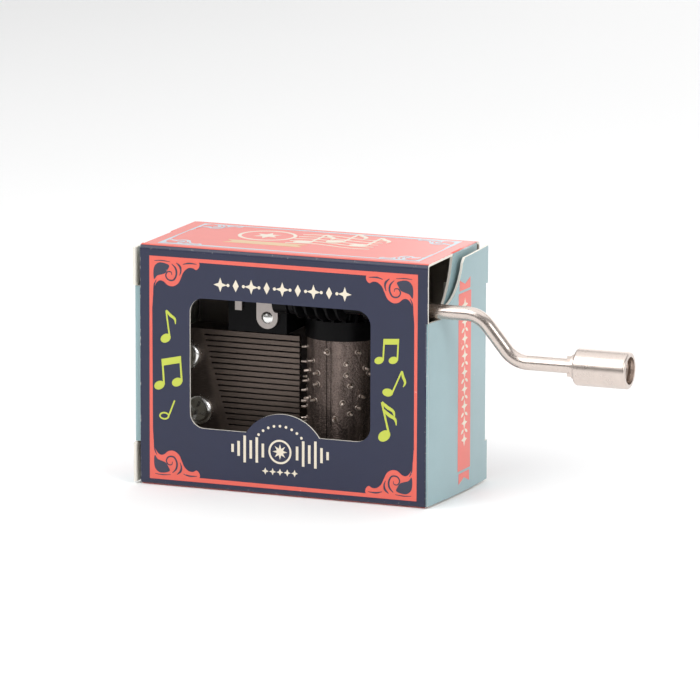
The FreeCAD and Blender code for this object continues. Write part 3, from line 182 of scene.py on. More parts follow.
# --------------------------------------------------------------------------
# Shader maths as Python expressions
# --------------------------------------------------------------------------
class Wire:
    """One output of a node; arithmetic on it adds Math nodes."""

    def __init__(self, graph, socket):
        self.graph = graph
        self.socket = socket

    def maths(self, operation, *values):
        """A Math node on these values."""
        node = self.graph.node("ShaderNodeMath", {"operation": operation}, dict(enumerate(values)))
        return Wire(self.graph, node.outputs[0])

    def __add__(self, other):
        return self.maths("ADD", self, other)

    def __radd__(self, other):
        return self.maths("ADD", other, self)

    def __sub__(self, other):
        return self.maths("SUBTRACT", self, other)

    def __rsub__(self, other):
        return self.maths("SUBTRACT", other, self)

    def __mul__(self, other):
        return self.maths("MULTIPLY", self, other)

    def __rmul__(self, other):
        return self.maths("MULTIPLY", other, self)

    def __truediv__(self, other):
        return self.maths("DIVIDE", self, other)

    def __abs__(self):
        return self.maths("ABSOLUTE", self)

    def root(self):
        """Square root."""
        return self.maths("SQRT", self)

    def least(self, other):
        """The smaller of the two."""
        return self.maths("MINIMUM", self, other)

    def most(self, other):
        """The larger of the two."""
        return self.maths("MAXIMUM", self, other)

    def rise(self, start, end):
        """0 before start and 1 after end, smooth between; start may be past end."""
        node = self.graph.node(
            "ShaderNodeMapRange", {"interpolation_type": "SMOOTHSTEP", "clamp": True},
            {"Value": self, "From Min": start, "From Max": end, "To Min": 0.0, "To Max": 1.0})
        return Wire(self.graph, node.outputs["Result"])


class Graph:
    """The nodes of one material, or of the room."""

    def __init__(self, name, owners=None):
        store = bpy.data.materials if owners is None else owners
        self.owner = store.new(name)
        self.owner.use_nodes = True
        self.tree = self.owner.node_tree
        self.tree.nodes.clear()
        where = self.node("ShaderNodeTexCoord")
        self.place = Wire(self, where.outputs["Object"])
        self.normal = Wire(self, where.outputs["Normal"])

    def node(self, kind, settings=None, values=None):
        """A node with its settings, then its sockets' values or links."""
        made = self.tree.nodes.new(kind)
        for name, value in (settings or {}).items():
            setattr(made, name, value)
        for name, value in (values or {}).items():
            if isinstance(value, Wire):
                self.tree.links.new(value.socket, made.inputs[name])
            else:
                made.inputs[name].default_value = value
        return made

    def parts(self, vector):
        """The x, y and z of a vector."""
        node = self.node("ShaderNodeSeparateXYZ", None, {"Vector": vector})
        return [Wire(self, output) for output in node.outputs]

    def stretched(self, factors):
        """The place with each direction scaled."""
        node = self.node("ShaderNodeVectorMath", {"operation": "MULTIPLY"}, {0: self.place, 1: factors})
        return Wire(self, node.outputs["Vector"])

    def facing(self, direction):
        """How far the surface faces a direction, 1 to -1."""
        towards = Vector(direction).normalized()
        node = self.node("ShaderNodeVectorMath", {"operation": "DOT_PRODUCT"},
                         {0: self.normal, 1: towards})
        return Wire(self, node.outputs["Value"])

    def noise(self, size, detail=2.0, stretch=None, distortion=0.0):
        """Soft noise, about 0.5, whose features have a size in metres."""
        where = self.stretched(stretch) if stretch else self.place
        node = self.node("ShaderNodeTexNoise", {"noise_dimensions": "3D"},
                         {"Vector": where, "Scale": 1.0 / size, "Detail": detail, "Distortion": distortion})
        return Wire(self, node.outputs["Fac"])

    def specks(self, size):
        """Distance to the nearest of scattered points, in units of their spacing."""
        node = self.node("ShaderNodeTexVoronoi", {"feature": "F1"},
                         {"Vector": self.place, "Scale": 1.0 / size})
        return Wire(self, node.outputs["Distance"])

    def mix(self, share, one, two):
        """Two colours mixed."""
        pair = [value if isinstance(value, Wire) else (*value, 1.0) for value in (one, two)]
        node = self.node("ShaderNodeMix", {"data_type": "RGBA"}, {0: share, 6: pair[0], 7: pair[1]})
        return Wire(self, node.outputs[2])

    def tones(self, share, colour, spread):
        """A colour that varies by a share of itself each way."""
        dark = [level * (1 - spread) for level in colour]
        light = [min(level * (1 + spread), 1.0) for level in colour]
        return self.mix(share, dark, light)

    def bump(self, height, distance, strength=1.0):
        """A bumped normal; distance is the real height of a step from 0 to 1."""
        node = self.node("ShaderNodeBump", None,
                         {"Height": height, "Distance": distance, "Strength": strength})
        return Wire(self, node.outputs["Normal"])

    def surface(self, colour, roughness, constants=None, **links):
        """The shader and the output; constants go on the shader's own sockets."""
        values = {"Base Color": colour if isinstance(colour, Wire) else (*colour, 1.0),
                  "Roughness": roughness}
        values.update(constants or {})
        values.update({name.replace("_", " "): wire for name, wire in links.items()})
        shader = self.node("ShaderNodeBsdfPrincipled", None, values)
        output = self.node("ShaderNodeOutputMaterial")
        self.tree.links.new(shader.outputs["BSDF"], output.inputs["Surface"])
        return self.owner


# --------------------------------------------------------------------------
# Card and ink finishes
# --------------------------------------------------------------------------
FIBRE = 0.00016
MOTTLE = 0.0035
PRINT_DEPTH = 0.00004


def board_finish(graph, ink, printed, lined, worn, inside, gloss):
    """Folding board: ink under a satin varnish, cut edges with their fibres, and a rough liner."""
    fibre = graph.noise(FIBRE, 4.0)
    mottle = graph.noise(MOTTLE, 2.0)
    raw = graph.tones(fibre, carton().board_colour, 0.12)
    liner = graph.tones(fibre, inside, 0.25)
    bare = graph.mix(lined, raw, liner)
    covered = printed * (1 - worn)
    colour = graph.mix(covered, bare, ink)
    height = fibre * (1 - printed * 0.62) + mottle * 0.5
    return graph.surface(
        colour, 0.86 - covered * 0.42 + fibre * 0.10,
        {"Specular IOR Level": 0.42, "Coat Roughness": 0.24},
        Coat_Weight=covered * gloss,
        Normal=graph.bump(height, 0.000018, 0.55))


def sleeve_card():
    """The sleeve: dark front and back, bright top and bottom, worn a little along its folds."""
    graph = Graph("sleeve_card")
    x, y, z = graph.parts(graph.place)
    radius = carton().fold_radius
    half_depth = -sleeve_low.y
    middle = sleeve_high.z / 2
    out_y = abs(y) - (half_depth - radius)
    up = abs(z - middle) - (middle - radius)
    round_y = out_y.most(0.0)
    round_z = up.most(0.0)
    outside = (round_y * round_y + round_z * round_z).root()
    depth = radius - outside - out_y.most(up).least(0.0)
    printed = depth.rise(PRINT_DEPTH * 1.5, PRINT_DEPTH)
    lined = depth.rise(card * 0.9, card * 0.97)
    on_top = up.rise(radius * 0.80, radius * 0.86)
    grain = graph.noise(0.0006, 3.0)
    fold = (out_y.rise(-0.0002, radius * 0.3) * up.rise(-0.0002, radius * 0.3))
    worn = fold * grain.rise(0.62, 0.85) * 0.22
    ends = abs(x).rise(sleeve_high.x - 0.00015, sleeve_high.x) * graph.noise(0.0009, 3.0).rise(0.5, 0.7)
    ink = graph.mix(on_top,
                    graph.tones(graph.noise(MOTTLE), carton().front_colour, 0.10),
                    graph.tones(graph.noise(MOTTLE), carton().top_colour, 0.05))
    # The sleeve's liner colour is greyed as painted shade for the dim inside of the carton.
    return board_finish(graph, ink, printed, lined, worn.most(ends * 0.6), carton().liner_painted_shade_colour,
                        on_top * 0.5 + 0.35)


def panel_card(name, outward):
    """A panel or flap printed on the side that faces outward, with a rough liner on its other side."""
    graph = Graph(name)
    towards = graph.facing(outward)
    printed = towards.rise(0.45, 0.6)
    lined = towards.rise(-0.45, -0.6)
    ink = graph.tones(graph.noise(MOTTLE), carton().end_colour, 0.05)
    worn = graph.noise(0.0006, 3.0).rise(0.74, 0.8) * 0.2
    return board_finish(graph, ink, printed, lined, worn, carton().flap_liner_colour, 0.7)


def fold_card(name, colour, corner, direction, share):
    """A quarter-round fold whose ink changes from one colour to the end panels' part of the way round."""
    graph = Graph(name)
    x, y, z = graph.parts(graph.place)
    along = (x - corner[0]) * direction[0] + (y - corner[1]) * direction[1] + (z - corner[2]) * direction[2]
    ink = graph.mix(along.rise(card * share - 0.00002, card * share),
                    graph.tones(graph.noise(MOTTLE), colour, 0.08),
                    graph.tones(graph.noise(MOTTLE), carton().end_colour, 0.05))
    worn = graph.noise(0.0005, 3.0).rise(0.56, 0.76) * 0.30
    return board_finish(graph, ink, 1.0, 0.0, worn, carton().liner_painted_shade_colour, 0.7)


def ink_finish(name, colour):
    """A flat ink under the carton's varnish, with the board's grain showing through."""
    graph = Graph(name)
    fibre = graph.noise(FIBRE, 4.0)
    patch = graph.noise(0.0011, 3.0)
    missed = graph.specks(0.0009).rise(0.16, 0.08) * patch.rise(0.60, 0.66)
    solid = graph.tones(graph.noise(MOTTLE), colour, 0.05)
    return graph.surface(
        graph.mix(missed * 0.35, solid, carton().board_colour),
        0.40 + fibre * 0.12,
        {"Specular IOR Level": 0.42, "Coat Weight": 0.85, "Coat Roughness": 0.24},
        Normal=graph.bump(fibre, 0.000012, 0.5))


# --------------------------------------------------------------------------
# Metal and plastic finishes
# --------------------------------------------------------------------------
def nickel_finish(name, colour, lines, rough=0.17):
    """Bright nickel plate with drawing lines, faint haze and a few scratches."""
    graph = Graph(name)
    drawn = graph.noise(0.00008, 3.0, lines)
    haze = graph.noise(0.0022, 3.0)
    scratch = graph.noise(0.00025, 2.0, (0.25, 1.0, 1.6), 1.4).rise(0.66, 0.70)
    return graph.surface(
        graph.tones(haze, colour, 0.10), rough + haze * 0.10 + drawn * 0.08 + scratch * 0.12,
        {"Metallic": 1.0},
        Normal=graph.bump(drawn + scratch * 0.8, 0.0000035, 0.5))


SEAM_ANGLE = -97.0


def drum_finish():
    """Rolled nickel sheet, dark and warm as painted shade and painted reflection of the carton's brown
    inside, bruised all over by the press that raised its pins.
    """
    graph = Graph("drum_plate")
    x, y, _ = graph.parts(graph.place)
    bruise = graph.noise(0.00034, 5.0)
    pit = graph.specks(0.00030).rise(0.34, 0.14) * graph.noise(0.0019, 2.0).rise(0.42, 0.60)
    band = graph.noise(0.0016, 3.0, (1.0, 1.0, 0.12))
    smear = graph.noise(0.0035, 2.0)
    rolled = graph.noise(0.00012, 2.0, (1.0, 1.0, 0.06))
    seam_angle = math.radians(SEAM_ANGLE)
    across = (x - drum_axis.x) * math.sin(seam_angle) - (y - drum_axis.y) * math.cos(seam_angle)
    outward = (x - drum_axis.x) * math.cos(seam_angle) + (y - drum_axis.y) * math.sin(seam_angle)
    seam = abs(across).rise(0.00009, 0.00005) * outward.rise(0.0, 0.001)
    # Painted shade and reflection: the drum's dark, warm colour, varied in bands.
    colour = graph.mix(band.rise(0.30, 0.72),
                       [level * 0.50 for level in movement().drum_painted_shade_colour],
                       [min(level * 1.25, 1.0) for level in movement().drum_painted_shade_colour])
    grained = graph.mix(graph.noise(0.00020, 2.0).rise(0.48, 0.62) * 0.35, colour,
                        [min(level * 1.7, 1.0) for level in movement().drum_painted_shade_colour])
    pitted = graph.mix(pit * 0.55, grained, [level * 0.35 for level in movement().drum_painted_shade_colour])
    height = bruise * 1.8 + pit * 1.0 + rolled * 0.3 - seam * 1.5
    from_axis_x = x - drum_axis.x
    from_axis_y = y - drum_axis.y
    away = (from_axis_x * from_axis_x + from_axis_y * from_axis_y).root()
    pin = away.rise(drum_radius + 0.00012, drum_radius + 0.00030)
    seamed = graph.mix(seam * 0.9, pitted, [level * 0.06 for level in movement().drum_painted_shade_colour])
    return graph.surface(
        graph.mix(pin, seamed, movement().pin_colour),
        0.30 + smear * 0.16 + pit * 0.22 + bruise * 0.12 - pin * 0.14,
        {"Metallic": 1.0},
        Normal=graph.bump(height, 0.00010, 1.0))


def comb_finish():
    """Ground spring steel, its dark brown tone painted shade and painted reflection of the carton's inside:
    fine lines along the teeth, an oily film, and a duller root that is darker still as painted shade.
    """
    graph = Graph("comb_steel")
    x, _, z = graph.parts(graph.place)
    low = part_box("comb")[0]
    ground = graph.noise(0.00007, 3.0, (0.05, 1.0, 1.0))
    oil = graph.noise(0.0026, 3.0)
    # Painted shade: towards the comb's base, the teeth's root darkens to 0.42 of the comb's colour.
    root = (x + z * 0.21).rise(low.x + 0.0110, low.x + 0.0096)
    colour = graph.mix(root, graph.tones(oil, movement().comb_painted_shade_colour, 0.22),
                       [level * 0.42 for level in movement().comb_painted_shade_colour])
    return graph.surface(
        graph.mix(ground.rise(0.40, 0.72) * 0.25, colour,
                  [min(level * 1.9, 1.0) for level in movement().comb_painted_shade_colour]),
        0.40 + oil * 0.14 + ground * 0.10 + root * 0.06,
        {"Metallic": 0.86, "Specular IOR Level": 0.4},
        Normal=graph.bump(ground, 0.000006, 0.6))


def bright_finish(name, colour, rough):
    """Zinc-plated steel, clear and slightly cold, with turning marks and small dents."""
    graph = Graph(name)
    cloud = graph.noise(0.0014, 3.0)
    dent = graph.specks(0.0007).rise(0.22, 0.05)
    return graph.surface(
        graph.tones(cloud, colour, 0.10), rough + cloud * 0.14 + dent * 0.1,
        {"Metallic": 1.0},
        Normal=graph.bump(cloud + dent * 0.6, 0.00002, 0.5))


def casting_finish():
    """Die-cast zinc, dark brown as painted shade, dull, with flow marks and a grainy skin."""
    graph = Graph("zinc_casting")
    grain = graph.noise(0.00018, 4.0)
    flow = graph.noise(0.0030, 3.0, (0.5, 1.0, 1.0), 0.8)
    return graph.surface(
        graph.tones(flow, movement().casting_painted_shade_colour, 0.30), 0.42 + grain * 0.25,
        {"Metallic": 0.75, "Specular IOR Level": 0.4},
        Normal=graph.bump(grain + flow * 0.6, 0.00002, 0.6))


def plastic_finish():
    """Black acetal, smooth from the mould, with a little dust of wear in its finish."""
    graph = Graph("black_plastic")
    skin = graph.noise(0.00030, 3.0)
    rub = graph.noise(0.0016, 2.0)
    return graph.surface(
        graph.tones(rub, movement().plastic_colour, 0.40), 0.27 + rub * 0.14 + skin * 0.08,
        {"Specular IOR Level": 0.10},
        Normal=graph.bump(skin, 0.000008, 0.5))


def lead_finish():
    """Dull lead with a wrinkled, hand-filed skin."""
    graph = Graph("lead")
    skin = graph.noise(0.0004, 4.0)
    return graph.surface(
        graph.tones(skin, movement().lead_colour, 0.25), 0.55 + skin * 0.2,
        {"Metallic": 0.7},
        Normal=graph.bump(skin, 0.00003, 0.6))


def film_finish():
    """Thin yellowed film with a satin skin."""
    graph = Graph("damper_film")
    skin = graph.noise(0.0003, 3.0)
    return graph.surface(
        graph.tones(skin, movement().film_colour, 0.10), 0.38 + skin * 0.12,
        {"Specular IOR Level": 0.5, "Transmission Weight": 0.3},
        Normal=graph.bump(skin, 0.000006, 0.4))


def dress(material, *nodes):
    """Give carried-over sub-parts a finish."""
    for node in nodes:
        materials = frame["nodes"][node].data.materials
        materials.clear()
        materials.append(material)


# --------------------------------------------------------------------------
# Flat artwork, in millimetres, wrapped onto the card
# --------------------------------------------------------------------------
STROKE_STEPS = 7


def curve_through(points, closed=False, steps=STROKE_STEPS):
    """Points on a smooth curve through control points of any number of values each."""
    count = len(points)
    spans = count if closed else count - 1
    smooth = []
    for span in range(spans):
        if closed:
            four = [points[(span + shift) % count] for shift in (-1, 0, 1, 2)]
        else:
            four = [points[min(max(span + shift, 0), count - 1)] for shift in (-1, 0, 1, 2)]
        for step in range(steps):
            t = step / steps
            weights = (
                -0.5 * t + t * t - 0.5 * t ** 3,
                1.0 - 2.5 * t * t + 1.5 * t ** 3,
                0.5 * t + 2.0 * t * t - 1.5 * t ** 3,
                -0.5 * t * t + 0.5 * t ** 3)
            smooth.append(tuple(sum(w * p[i] for w, p in zip(weights, four)) for i in range(len(points[0]))))
    if not closed:
        smooth.append(tuple(points[-1]))
    return smooth


class Artwork:
    """Inked shapes on a flat sheet; each is a thin closed solid."""

    def __init__(self, layer=0):
        self.mesh = bmesh.new()
        self.layer = layer
        self.level = 0
        self.move = Matrix.Identity(3)

    def vertex(self, u, v, height):
        """A corner, placed by the current move."""
        placed = self.move @ Vector((u, v, 1.0))
        return self.mesh.verts.new((placed.x * MM, placed.y * MM, height))

    def heights(self):
        """Under and upper face of the next shape, each shape a hair above the last."""
        top = carton().ink_height + (self.layer * 4 + self.level) * carton().ink_step
        self.level = (self.level + 1) % 4
        return -carton().ink_height * 0.25, top

    def fill(self, points):
        """A filled outline."""
        low, high = self.heights()
        below = [self.vertex(u, v, low) for u, v in points]
        above = [self.vertex(u, v, high) for u, v in points]
        self.mesh.faces.new(above)
        self.mesh.faces.new(below[::-1])
        for index in range(len(points)):
            after = (index + 1) % len(points)
            self.mesh.faces.new((below[index], below[after], above[after], above[index]))

    def stroke(self, points, closed=False, smooth=True):
        """A line through (u, v, width) points."""
        run = curve_through(points, closed) if smooth else list(points)
        sides = []
        count = len(run)
        for index, (u, v, width) in enumerate(run):
            before = run[index - 1] if closed or index else run[index]
            after = run[(index + 1) % count] if closed or index < count - 1 else run[index]
            ahead = Vector((after[0] - before[0], after[1] - before[1])).normalized()
            reach = width / 2
            if not smooth and (closed or 0 < index < count - 1):
                into = Vector((u - before[0], v - before[1])).normalized()
                reach = reach / max(into.dot(ahead), 0.3)
            across = Vector((-ahead.y, ahead.x)) * reach
            sides.append(((u + across.x, v + across.y), (u - across.x, v - across.y)))
        self.ribbon(sides, closed)

    def ribbon(self, sides, closed=False):
        """A strip between two matched sides."""
        low, high = self.heights()
        rows = []
        for one, two in sides:
            rows.append([self.vertex(*one, low), self.vertex(*two, low),
                         self.vertex(*two, high), self.vertex(*one, high)])
        for index in range(len(rows) if closed else len(rows) - 1):
            here, there = rows[index], rows[(index + 1) % len(rows)]
            for side in range(4):
                following = (side + 1) % 4
                self.mesh.faces.new((here[side], here[following], there[following], there[side]))
        if not closed:
            self.mesh.faces.new(rows[0][::-1])
            self.mesh.faces.new(rows[-1])

    def oval(self, u, v, wide, tall, tilt=0.0, steps=28):
        """A filled oval from its centre and its two half sizes; tilt in degrees."""
        self.fill(oval_points(u, v, wide, tall, tilt, steps))

    def ring(self, u, v, wide, tall, width, tilt=0.0, steps=40):
        """An oval ring."""
        self.stroke([(*point, width) for point in oval_points(u, v, wide, tall, tilt, steps)],
                    closed=True, smooth=False)

    def box(self, left, low, right, high):
        """A filled rectangle."""
        self.fill([(left, low), (right, low), (right, high), (left, high)])

    def star(self, u, v, points, tip, foot, turn=90.0):
        """A pointed star."""
        corners = []
        for index in range(points * 2):
            angle = math.radians(turn + 180.0 * index / points)
            radius = foot if index % 2 else tip
            corners.append((u + radius * math.cos(angle), v + radius * math.sin(angle)))
        self.fill(corners)

    def wrap(self, name, onto, material, body, cuts=()):
        """Bend the finished sheet onto the card and make it a piece that rides on a body."""
        bmesh.ops.recalc_face_normals(self.mesh, faces=self.mesh.faces)
        for cut in cuts:
            everything = self.mesh.verts[:] + self.mesh.edges[:] + self.mesh.faces[:]
            bmesh.ops.bisect_plane(self.mesh, geom=everything, plane_co=(cut * MM, 0, 0), plane_no=(1, 0, 0))
        bmesh.ops.triangulate(self.mesh, faces=[face for face in self.mesh.faces if len(face.verts) > 4])
        for vertex in self.mesh.verts:
            vertex.co = onto(*vertex.co)
        bmesh.ops.recalc_face_normals(self.mesh, faces=self.mesh.faces)
        piece = as_object(name, self.mesh)
        piece.data.materials.append(material)
        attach(piece, body)
        return piece


def oval_points(u, v, wide, tall, tilt, steps):
    """Points round an oval."""
    lean = math.radians(tilt)
    points = []
    for index in range(steps):
        angle = math.tau * index / steps
        across, up = wide * math.cos(angle), tall * math.sin(angle)
        points.append((u + across * math.cos(lean) - up * math.sin(lean),
                       v + across * math.sin(lean) + up * math.cos(lean)))
    return points


def as_object(name, mesh):
    """A mesh built in bmesh, linked to the scene."""
    data = bpy.data.meshes.new(name)
    mesh.to_mesh(data)
    mesh.free()
    made = bpy.data.objects.new(name, data)
    bpy.context.scene.collection.objects.link(made)
    return made


def onto_front(u, v, height):
    """Front wall: u from its left end, v up."""
    return sleeve_low.x + u, sleeve_low.y - height, v


def onto_back(u, v, height):
    """Back wall, read from behind."""
    return sleeve_high.x - u, sleeve_high.y + height, v


def onto_top(u, v, height):
    """Top wall: u from its left end, v from its front fold."""
    return sleeve_low.x + u, sleeve_low.y + v, sleeve_high.z + height


def bow_of(node):
    """Height of a bowed panel's outside against Y, from the panel's own corners."""
    sign = 1 if node.startswith("right") else -1
    corners = {}
    for vertex in frame["nodes"][node].data.vertices:
        key = round(vertex.co.y, 5)
        corners[key] = max(corners.get(key, -1.0), vertex.co.x * sign)
    spots = sorted(corners.items())
    first, last = spots[0], spots[-1]
    peak = max(spots, key=lambda spot: spot[1])

    def height(y):
        """A parabola through the panel's two ends and its highest point."""
        points = (first, peak, last)
        total = 0.0
        for index, (here, there) in enumerate(points):
            share = there
            for other, (mark, _) in enumerate(points):
                if other != index:
                    share *= (y - mark) / (here - mark)
            total += share
        return sign * total
    return height


# --------------------------------------------------------------------------
# Carton artwork
# --------------------------------------------------------------------------
def mirrored(u, v, side_u, side_v):
    """A move that puts a corner ornament at (u, v), flipped to its corner."""
    return Matrix(((side_u, 0, u), (0, side_v, v), (0, 0, 1)))


SCROLL_EDGE = ((9.0, 0.35), (9.35, 0.85), (9.25, 1.5), (8.75, 1.95), (8.1, 1.66), (7.3, 1.72),
               (6.5, 2.35), (6.0, 3.35), (5.45, 4.45), (4.5, 5.05), (3.5, 4.95), (2.65, 4.3), (1.85, 4.25),
               (1.15, 5.0), (0.78, 6.4), (0.6, 8.8))
SCROLL_LEAF = ((3.75, 1.50), (2.8, 1.12), (1.8, 1.12), (1.05, 1.75), (0.82, 2.8), (0.95, 4.05),
               (1.5, 3.42), (2.3, 3.15), (3.05, 2.85), (3.45, 2.25))
SCROLL_LINES = (
    ((4.25, 1.20, 0.10), (4.95, 1.95, 0.30), (5.08, 3.0, 0.30), (4.55, 3.95, 0.26), (3.6, 3.98, 0.24),
     (3.12, 3.30, 0.22), (3.45, 2.62, 0.20), (4.1, 2.62, 0.16), (4.25, 3.12, 0.08)),
    ((5.1, 0.95, 0.10), (5.75, 1.55, 0.36), (5.92, 2.3, 0.26), (5.7, 3.1, 0.08)),
    ((1.0, 0.82, 0.08), (2.4, 0.72, 0.17), (3.9, 0.85, 0.08)),
    ((6.3, 1.15, 0.08), (7.4, 0.88, 0.26), (8.85, 0.95, 0.08)),
    ((1.35, 4.15, 0.08), (0.98, 5.0, 0.22), (0.80, 6.5, 0.06)))


def corner_scroll(art, scale):
    """One corner ornament's inked outline; the corner is at 0, 0."""
    edge = [(0.15, 8.8), (0.15, 0.15), (9.0, 0.15), *curve_through(SCROLL_EDGE, False, 4)]
    art.fill([(u * scale, v * scale) for u, v in edge])


def corner_hollow(art, scale):
    """What stays bare in a corner ornament: a leaf and the lines between the scroll's turns."""
    art.fill([(u * scale, v * scale) for u, v in curve_through(SCROLL_LEAF, True, 4)])
    for line in SCROLL_LINES:
        art.stroke([(u * scale, v * scale, width * scale) for u, v, width in line])


def in_corners(art, line, draw, scale=1.0):
    """Draw an ornament in each corner of a frame line."""
    left, low, right, high = line[:4]
    for u, side_u in ((left, 1), (right, -1)):
        for v, side_v in ((low, 1), (high, -1)):
            art.level = 1
            art.move = mirrored(u, v, side_u, side_v)
            draw(art, scale)
    art.move = Matrix.Identity(3)


def frame_line(art, left, low, right, high, width):
    """A square-cornered line round a panel."""
    half = width / 2
    corners = [(left + half, low + half), (right - half, low + half),
               (right - half, high - half), (left + half, high - half)]
    art.stroke([(*corner, width) for corner in corners], closed=True, smooth=False)


def note_head(art, u, v, size=1.0, hollow=False):
    """A slanted note head."""
    if hollow:
        art.ring(u, v, 0.95 * size, 0.62 * size, 0.32 * size, 24.0)
    else:
        art.oval(u, v, 1.12 * size, 0.80 * size, 24.0)


def single_note(art, size, flags, hollow=False):
    """A note with its head at 0, 0, a stem and flags."""
    tall = 5.3 * size if not hollow else 3.9 * size
    stem = 0.86 * size
    note_head(art, 0, 0, size, hollow)
    art.stroke([(stem, 0.15 * size, 0.34 * size), (stem, tall, 0.30 * size)], smooth=False)
    for flag in range(flags):
        top = tall - flag * 1.25 * size
        art.stroke([(stem, top, 0.42 * size), (stem + 0.75 * size, top - 0.95 * size, 0.56 * size),
                    (stem + 1.55 * size, top - 1.75 * size, 0.46 * size),
                    (stem + 1.55 * size, top - 2.75 * size, 0.12 * size)])


def paired_notes(art, size, spread, rise):
    """Two notes joined by a beam; the left head is at 0, 0."""
    tall = 4.4 * size
    stem = 0.90 * size
    for u, v in ((0.0, 0.0), (spread, rise)):
        note_head(art, u, v, size * 0.92)
        art.stroke([(u + stem, v + 0.1 * size, 0.34 * size), (u + stem, v + tall, 0.34 * size)], smooth=False)
    near = stem - 0.17 * size
    far = stem + spread + 0.17 * size
    under = tall - 0.95 * size
    over = tall + 0.25 * size
    art.fill([(near, under), (far, under + rise), (far, over + rise), (near, over)])


def turned(u, v, degrees, flip=1):
    """A move that turns a shape about its own origin and puts that at (u, v)."""
    angle = math.radians(degrees)
    return Matrix(((flip * math.cos(angle), -math.sin(angle), u),
                   (flip * math.sin(angle), math.cos(angle), v), (0, 0, 1)))


FRONT_LINE = (1.7, 1.2, 50.9, 40.1, 0.62)
TOP_LINE = (2.4, 2.3, 50.3, 22.7, 0.42)


def framed(wall, line, scale, onto, material, bare):
    """A line round a wall with a scroll in each corner, and the bare parts of the scrolls over it."""
    art = Artwork()
    frame_line(art, *line)
    in_corners(art, line, corner_scroll, scale)
    art.wrap(wall + "_frame_print", onto, material, "carton")
    hollows = Artwork(1)
    in_corners(hollows, line, corner_hollow, scale)
    hollows.wrap(wall + "_hollow_print", onto, bare, "carton")


def headline_art():
    """A row of cream ornaments over the window."""
    art = Artwork()
    middle = 35.9
    start, end = 14.9, 37.7
    count = 17
    for index in range(count):
        u = start + (end - start) * index / (count - 1)
        if index % 4 == 0:
            art.star(u, middle, 4, 1.25, 0.46)
        elif index % 4 == 2:
            art.star(u, middle, 2, 1.05, 0.55)
        else:
            art.oval(u, middle, 0.28, 0.28, 0.0, 16)
    return art


def emblem_art():
    """Cream emblem under the window: a star in a ring, sound bars each side, dots over and under."""
    art = Artwork()
    centre_u, centre_v = 25.9, 7.7
    art.ring(centre_u, centre_v, 1.95, 1.95, 0.34)
    art.star(centre_u, centre_v, 8, 1.35, 0.60)
    for side in (-1, 1):
        for index, half in enumerate((1.2, 2.2, 1.6, 2.35, 1.3, 0.7)):
            u = centre_u + side * (3.15 + index * 1.12)
            art.stroke([(u, centre_v - half, 0.46), (u, centre_v + half, 0.46)], smooth=False)
    for index in range(9):
        angle = math.radians(90 + (index - 4) * 12.0)
        art.oval(centre_u + 5.3 * math.cos(angle), centre_v - 0.9 + 5.4 * math.sin(angle),
                 0.24, 0.24, 0.0, 14)
    for index in range(5):
        art.star(centre_u + (index - 2) * 1.35, 4.15, 4, 0.62, 0.26)
    return art


def notes_art():
    """Six notes beside the window."""
    art = Artwork()
    for place, draw, *shape in (
            ((4.75, 25.9, 8), single_note, 0.90, 1),
            ((3.55, 17.6, 4), paired_notes, 0.98, 3.35, 0.55),
            ((4.45, 12.3, -22), single_note, 0.86, 0, True),
            ((43.95, 25.0, -3), paired_notes, 0.82, 2.55, 0.35),
            ((45.55, 19.6, -24), single_note, 0.86, 1),
            ((44.95, 12.05, 14), single_note, 1.08, 2)):
        art.move = turned(*place)
        draw(art, *shape)
    art.move = Matrix.Identity(3)
    return art


def top_ornament_art():
    """Cream ornament on the top wall: an oval with a star, and a flowing stave."""
    art = Artwork()
    art.ring(17.2, 15.6, 4.9, 4.4, 0.62)
    art.star(17.2, 15.6, 6, 2.5, 1.15)
    for line in range(5):
        base = 10.4 + line * 2.1
        art.stroke([(22.6 + 2.6 * step, base + 0.85 * math.sin(step * 0.95), 0.50 - 0.02 * step)
                    for step in range(7)])
    return art


def top_notes_art():
    """Three notes on the top wall's stave, a layer above its lines."""
    art = Artwork(1)
    for u, v, size in ((25.2, 12.0, 1.5), (30.2, 14.6, 1.5), (35.2, 12.6, 1.5)):
        art.move = turned(u, v, 0)
        single_note(art, size, 1)
    art.move = Matrix.Identity(3)
    return art


def top_banner_art():
    """Banner under the oval on the top wall."""
    art = Artwork()
    art.fill([(12.2, 7.2), (27.0, 7.2), (25.6, 8.5), (27.0, 9.8), (12.2, 9.8), (13.6, 8.5)])
    return art


RIBBON = (11.3, 16.6)
RIBBON_BODY = (4.1, 35.0)


def end_ribbon_art():
    """Ribbon on an end panel: a long bar and a swallow tail past each end."""
    art = Artwork()
    near, far = RIBBON
    low, top = RIBBON_BODY
    middle = (near + far) / 2
    art.box(near, low, far, top)
    for foot, tip in ((low - 0.45, low - 2.3), (top + 0.45, top + 2.3)):
        art.fill([(near + 0.4, foot), (far - 0.4, foot), (far - 0.4, tip),
                  (middle, (foot + tip) / 2), (near + 0.4, tip)])
    return art


def end_pattern_art():
    """Cream lozenges down the ribbon."""
    art = Artwork()
    middle = sum(RIBBON) / 2
    low, top = RIBBON_BODY
    count = 17
    for index in range(count):
        v = low + 5.2 + (top - low - 7.4) * index / (count - 1)
        if index % 2:
            art.oval(middle - 0.8, v, 0.62, 0.26, 28.0, 16)
            art.oval(middle + 0.8, v, 0.62, 0.26, -28.0, 16)
        else:
            art.star(middle, v, 4, 1.25, 0.45)
    return art


class MUSICBOX_OT_print_card(bpy.types.Operator):
    """Give every panel and flap of the carton its board, ink and varnish"""

    bl_idname = "musicbox.print_card"
    bl_label = "Print the card"

    def execute(self, context):
        dress(sleeve_card(), "carton_sleeve")
        for side, sign in (("right", 1), ("left", -1)):
            outside = panel_card(side + "_end_card", (sign, 0, 0))
            dress(outside, side + "_end_panel", side + "_top_dust_flap", side + "_bottom_dust_flap")
            dress(panel_card(side + "_tuck_card", (sign * 0.5, sign * 0.86, 0)), side + "_tuck_flap")
        return {"FINISHED"}


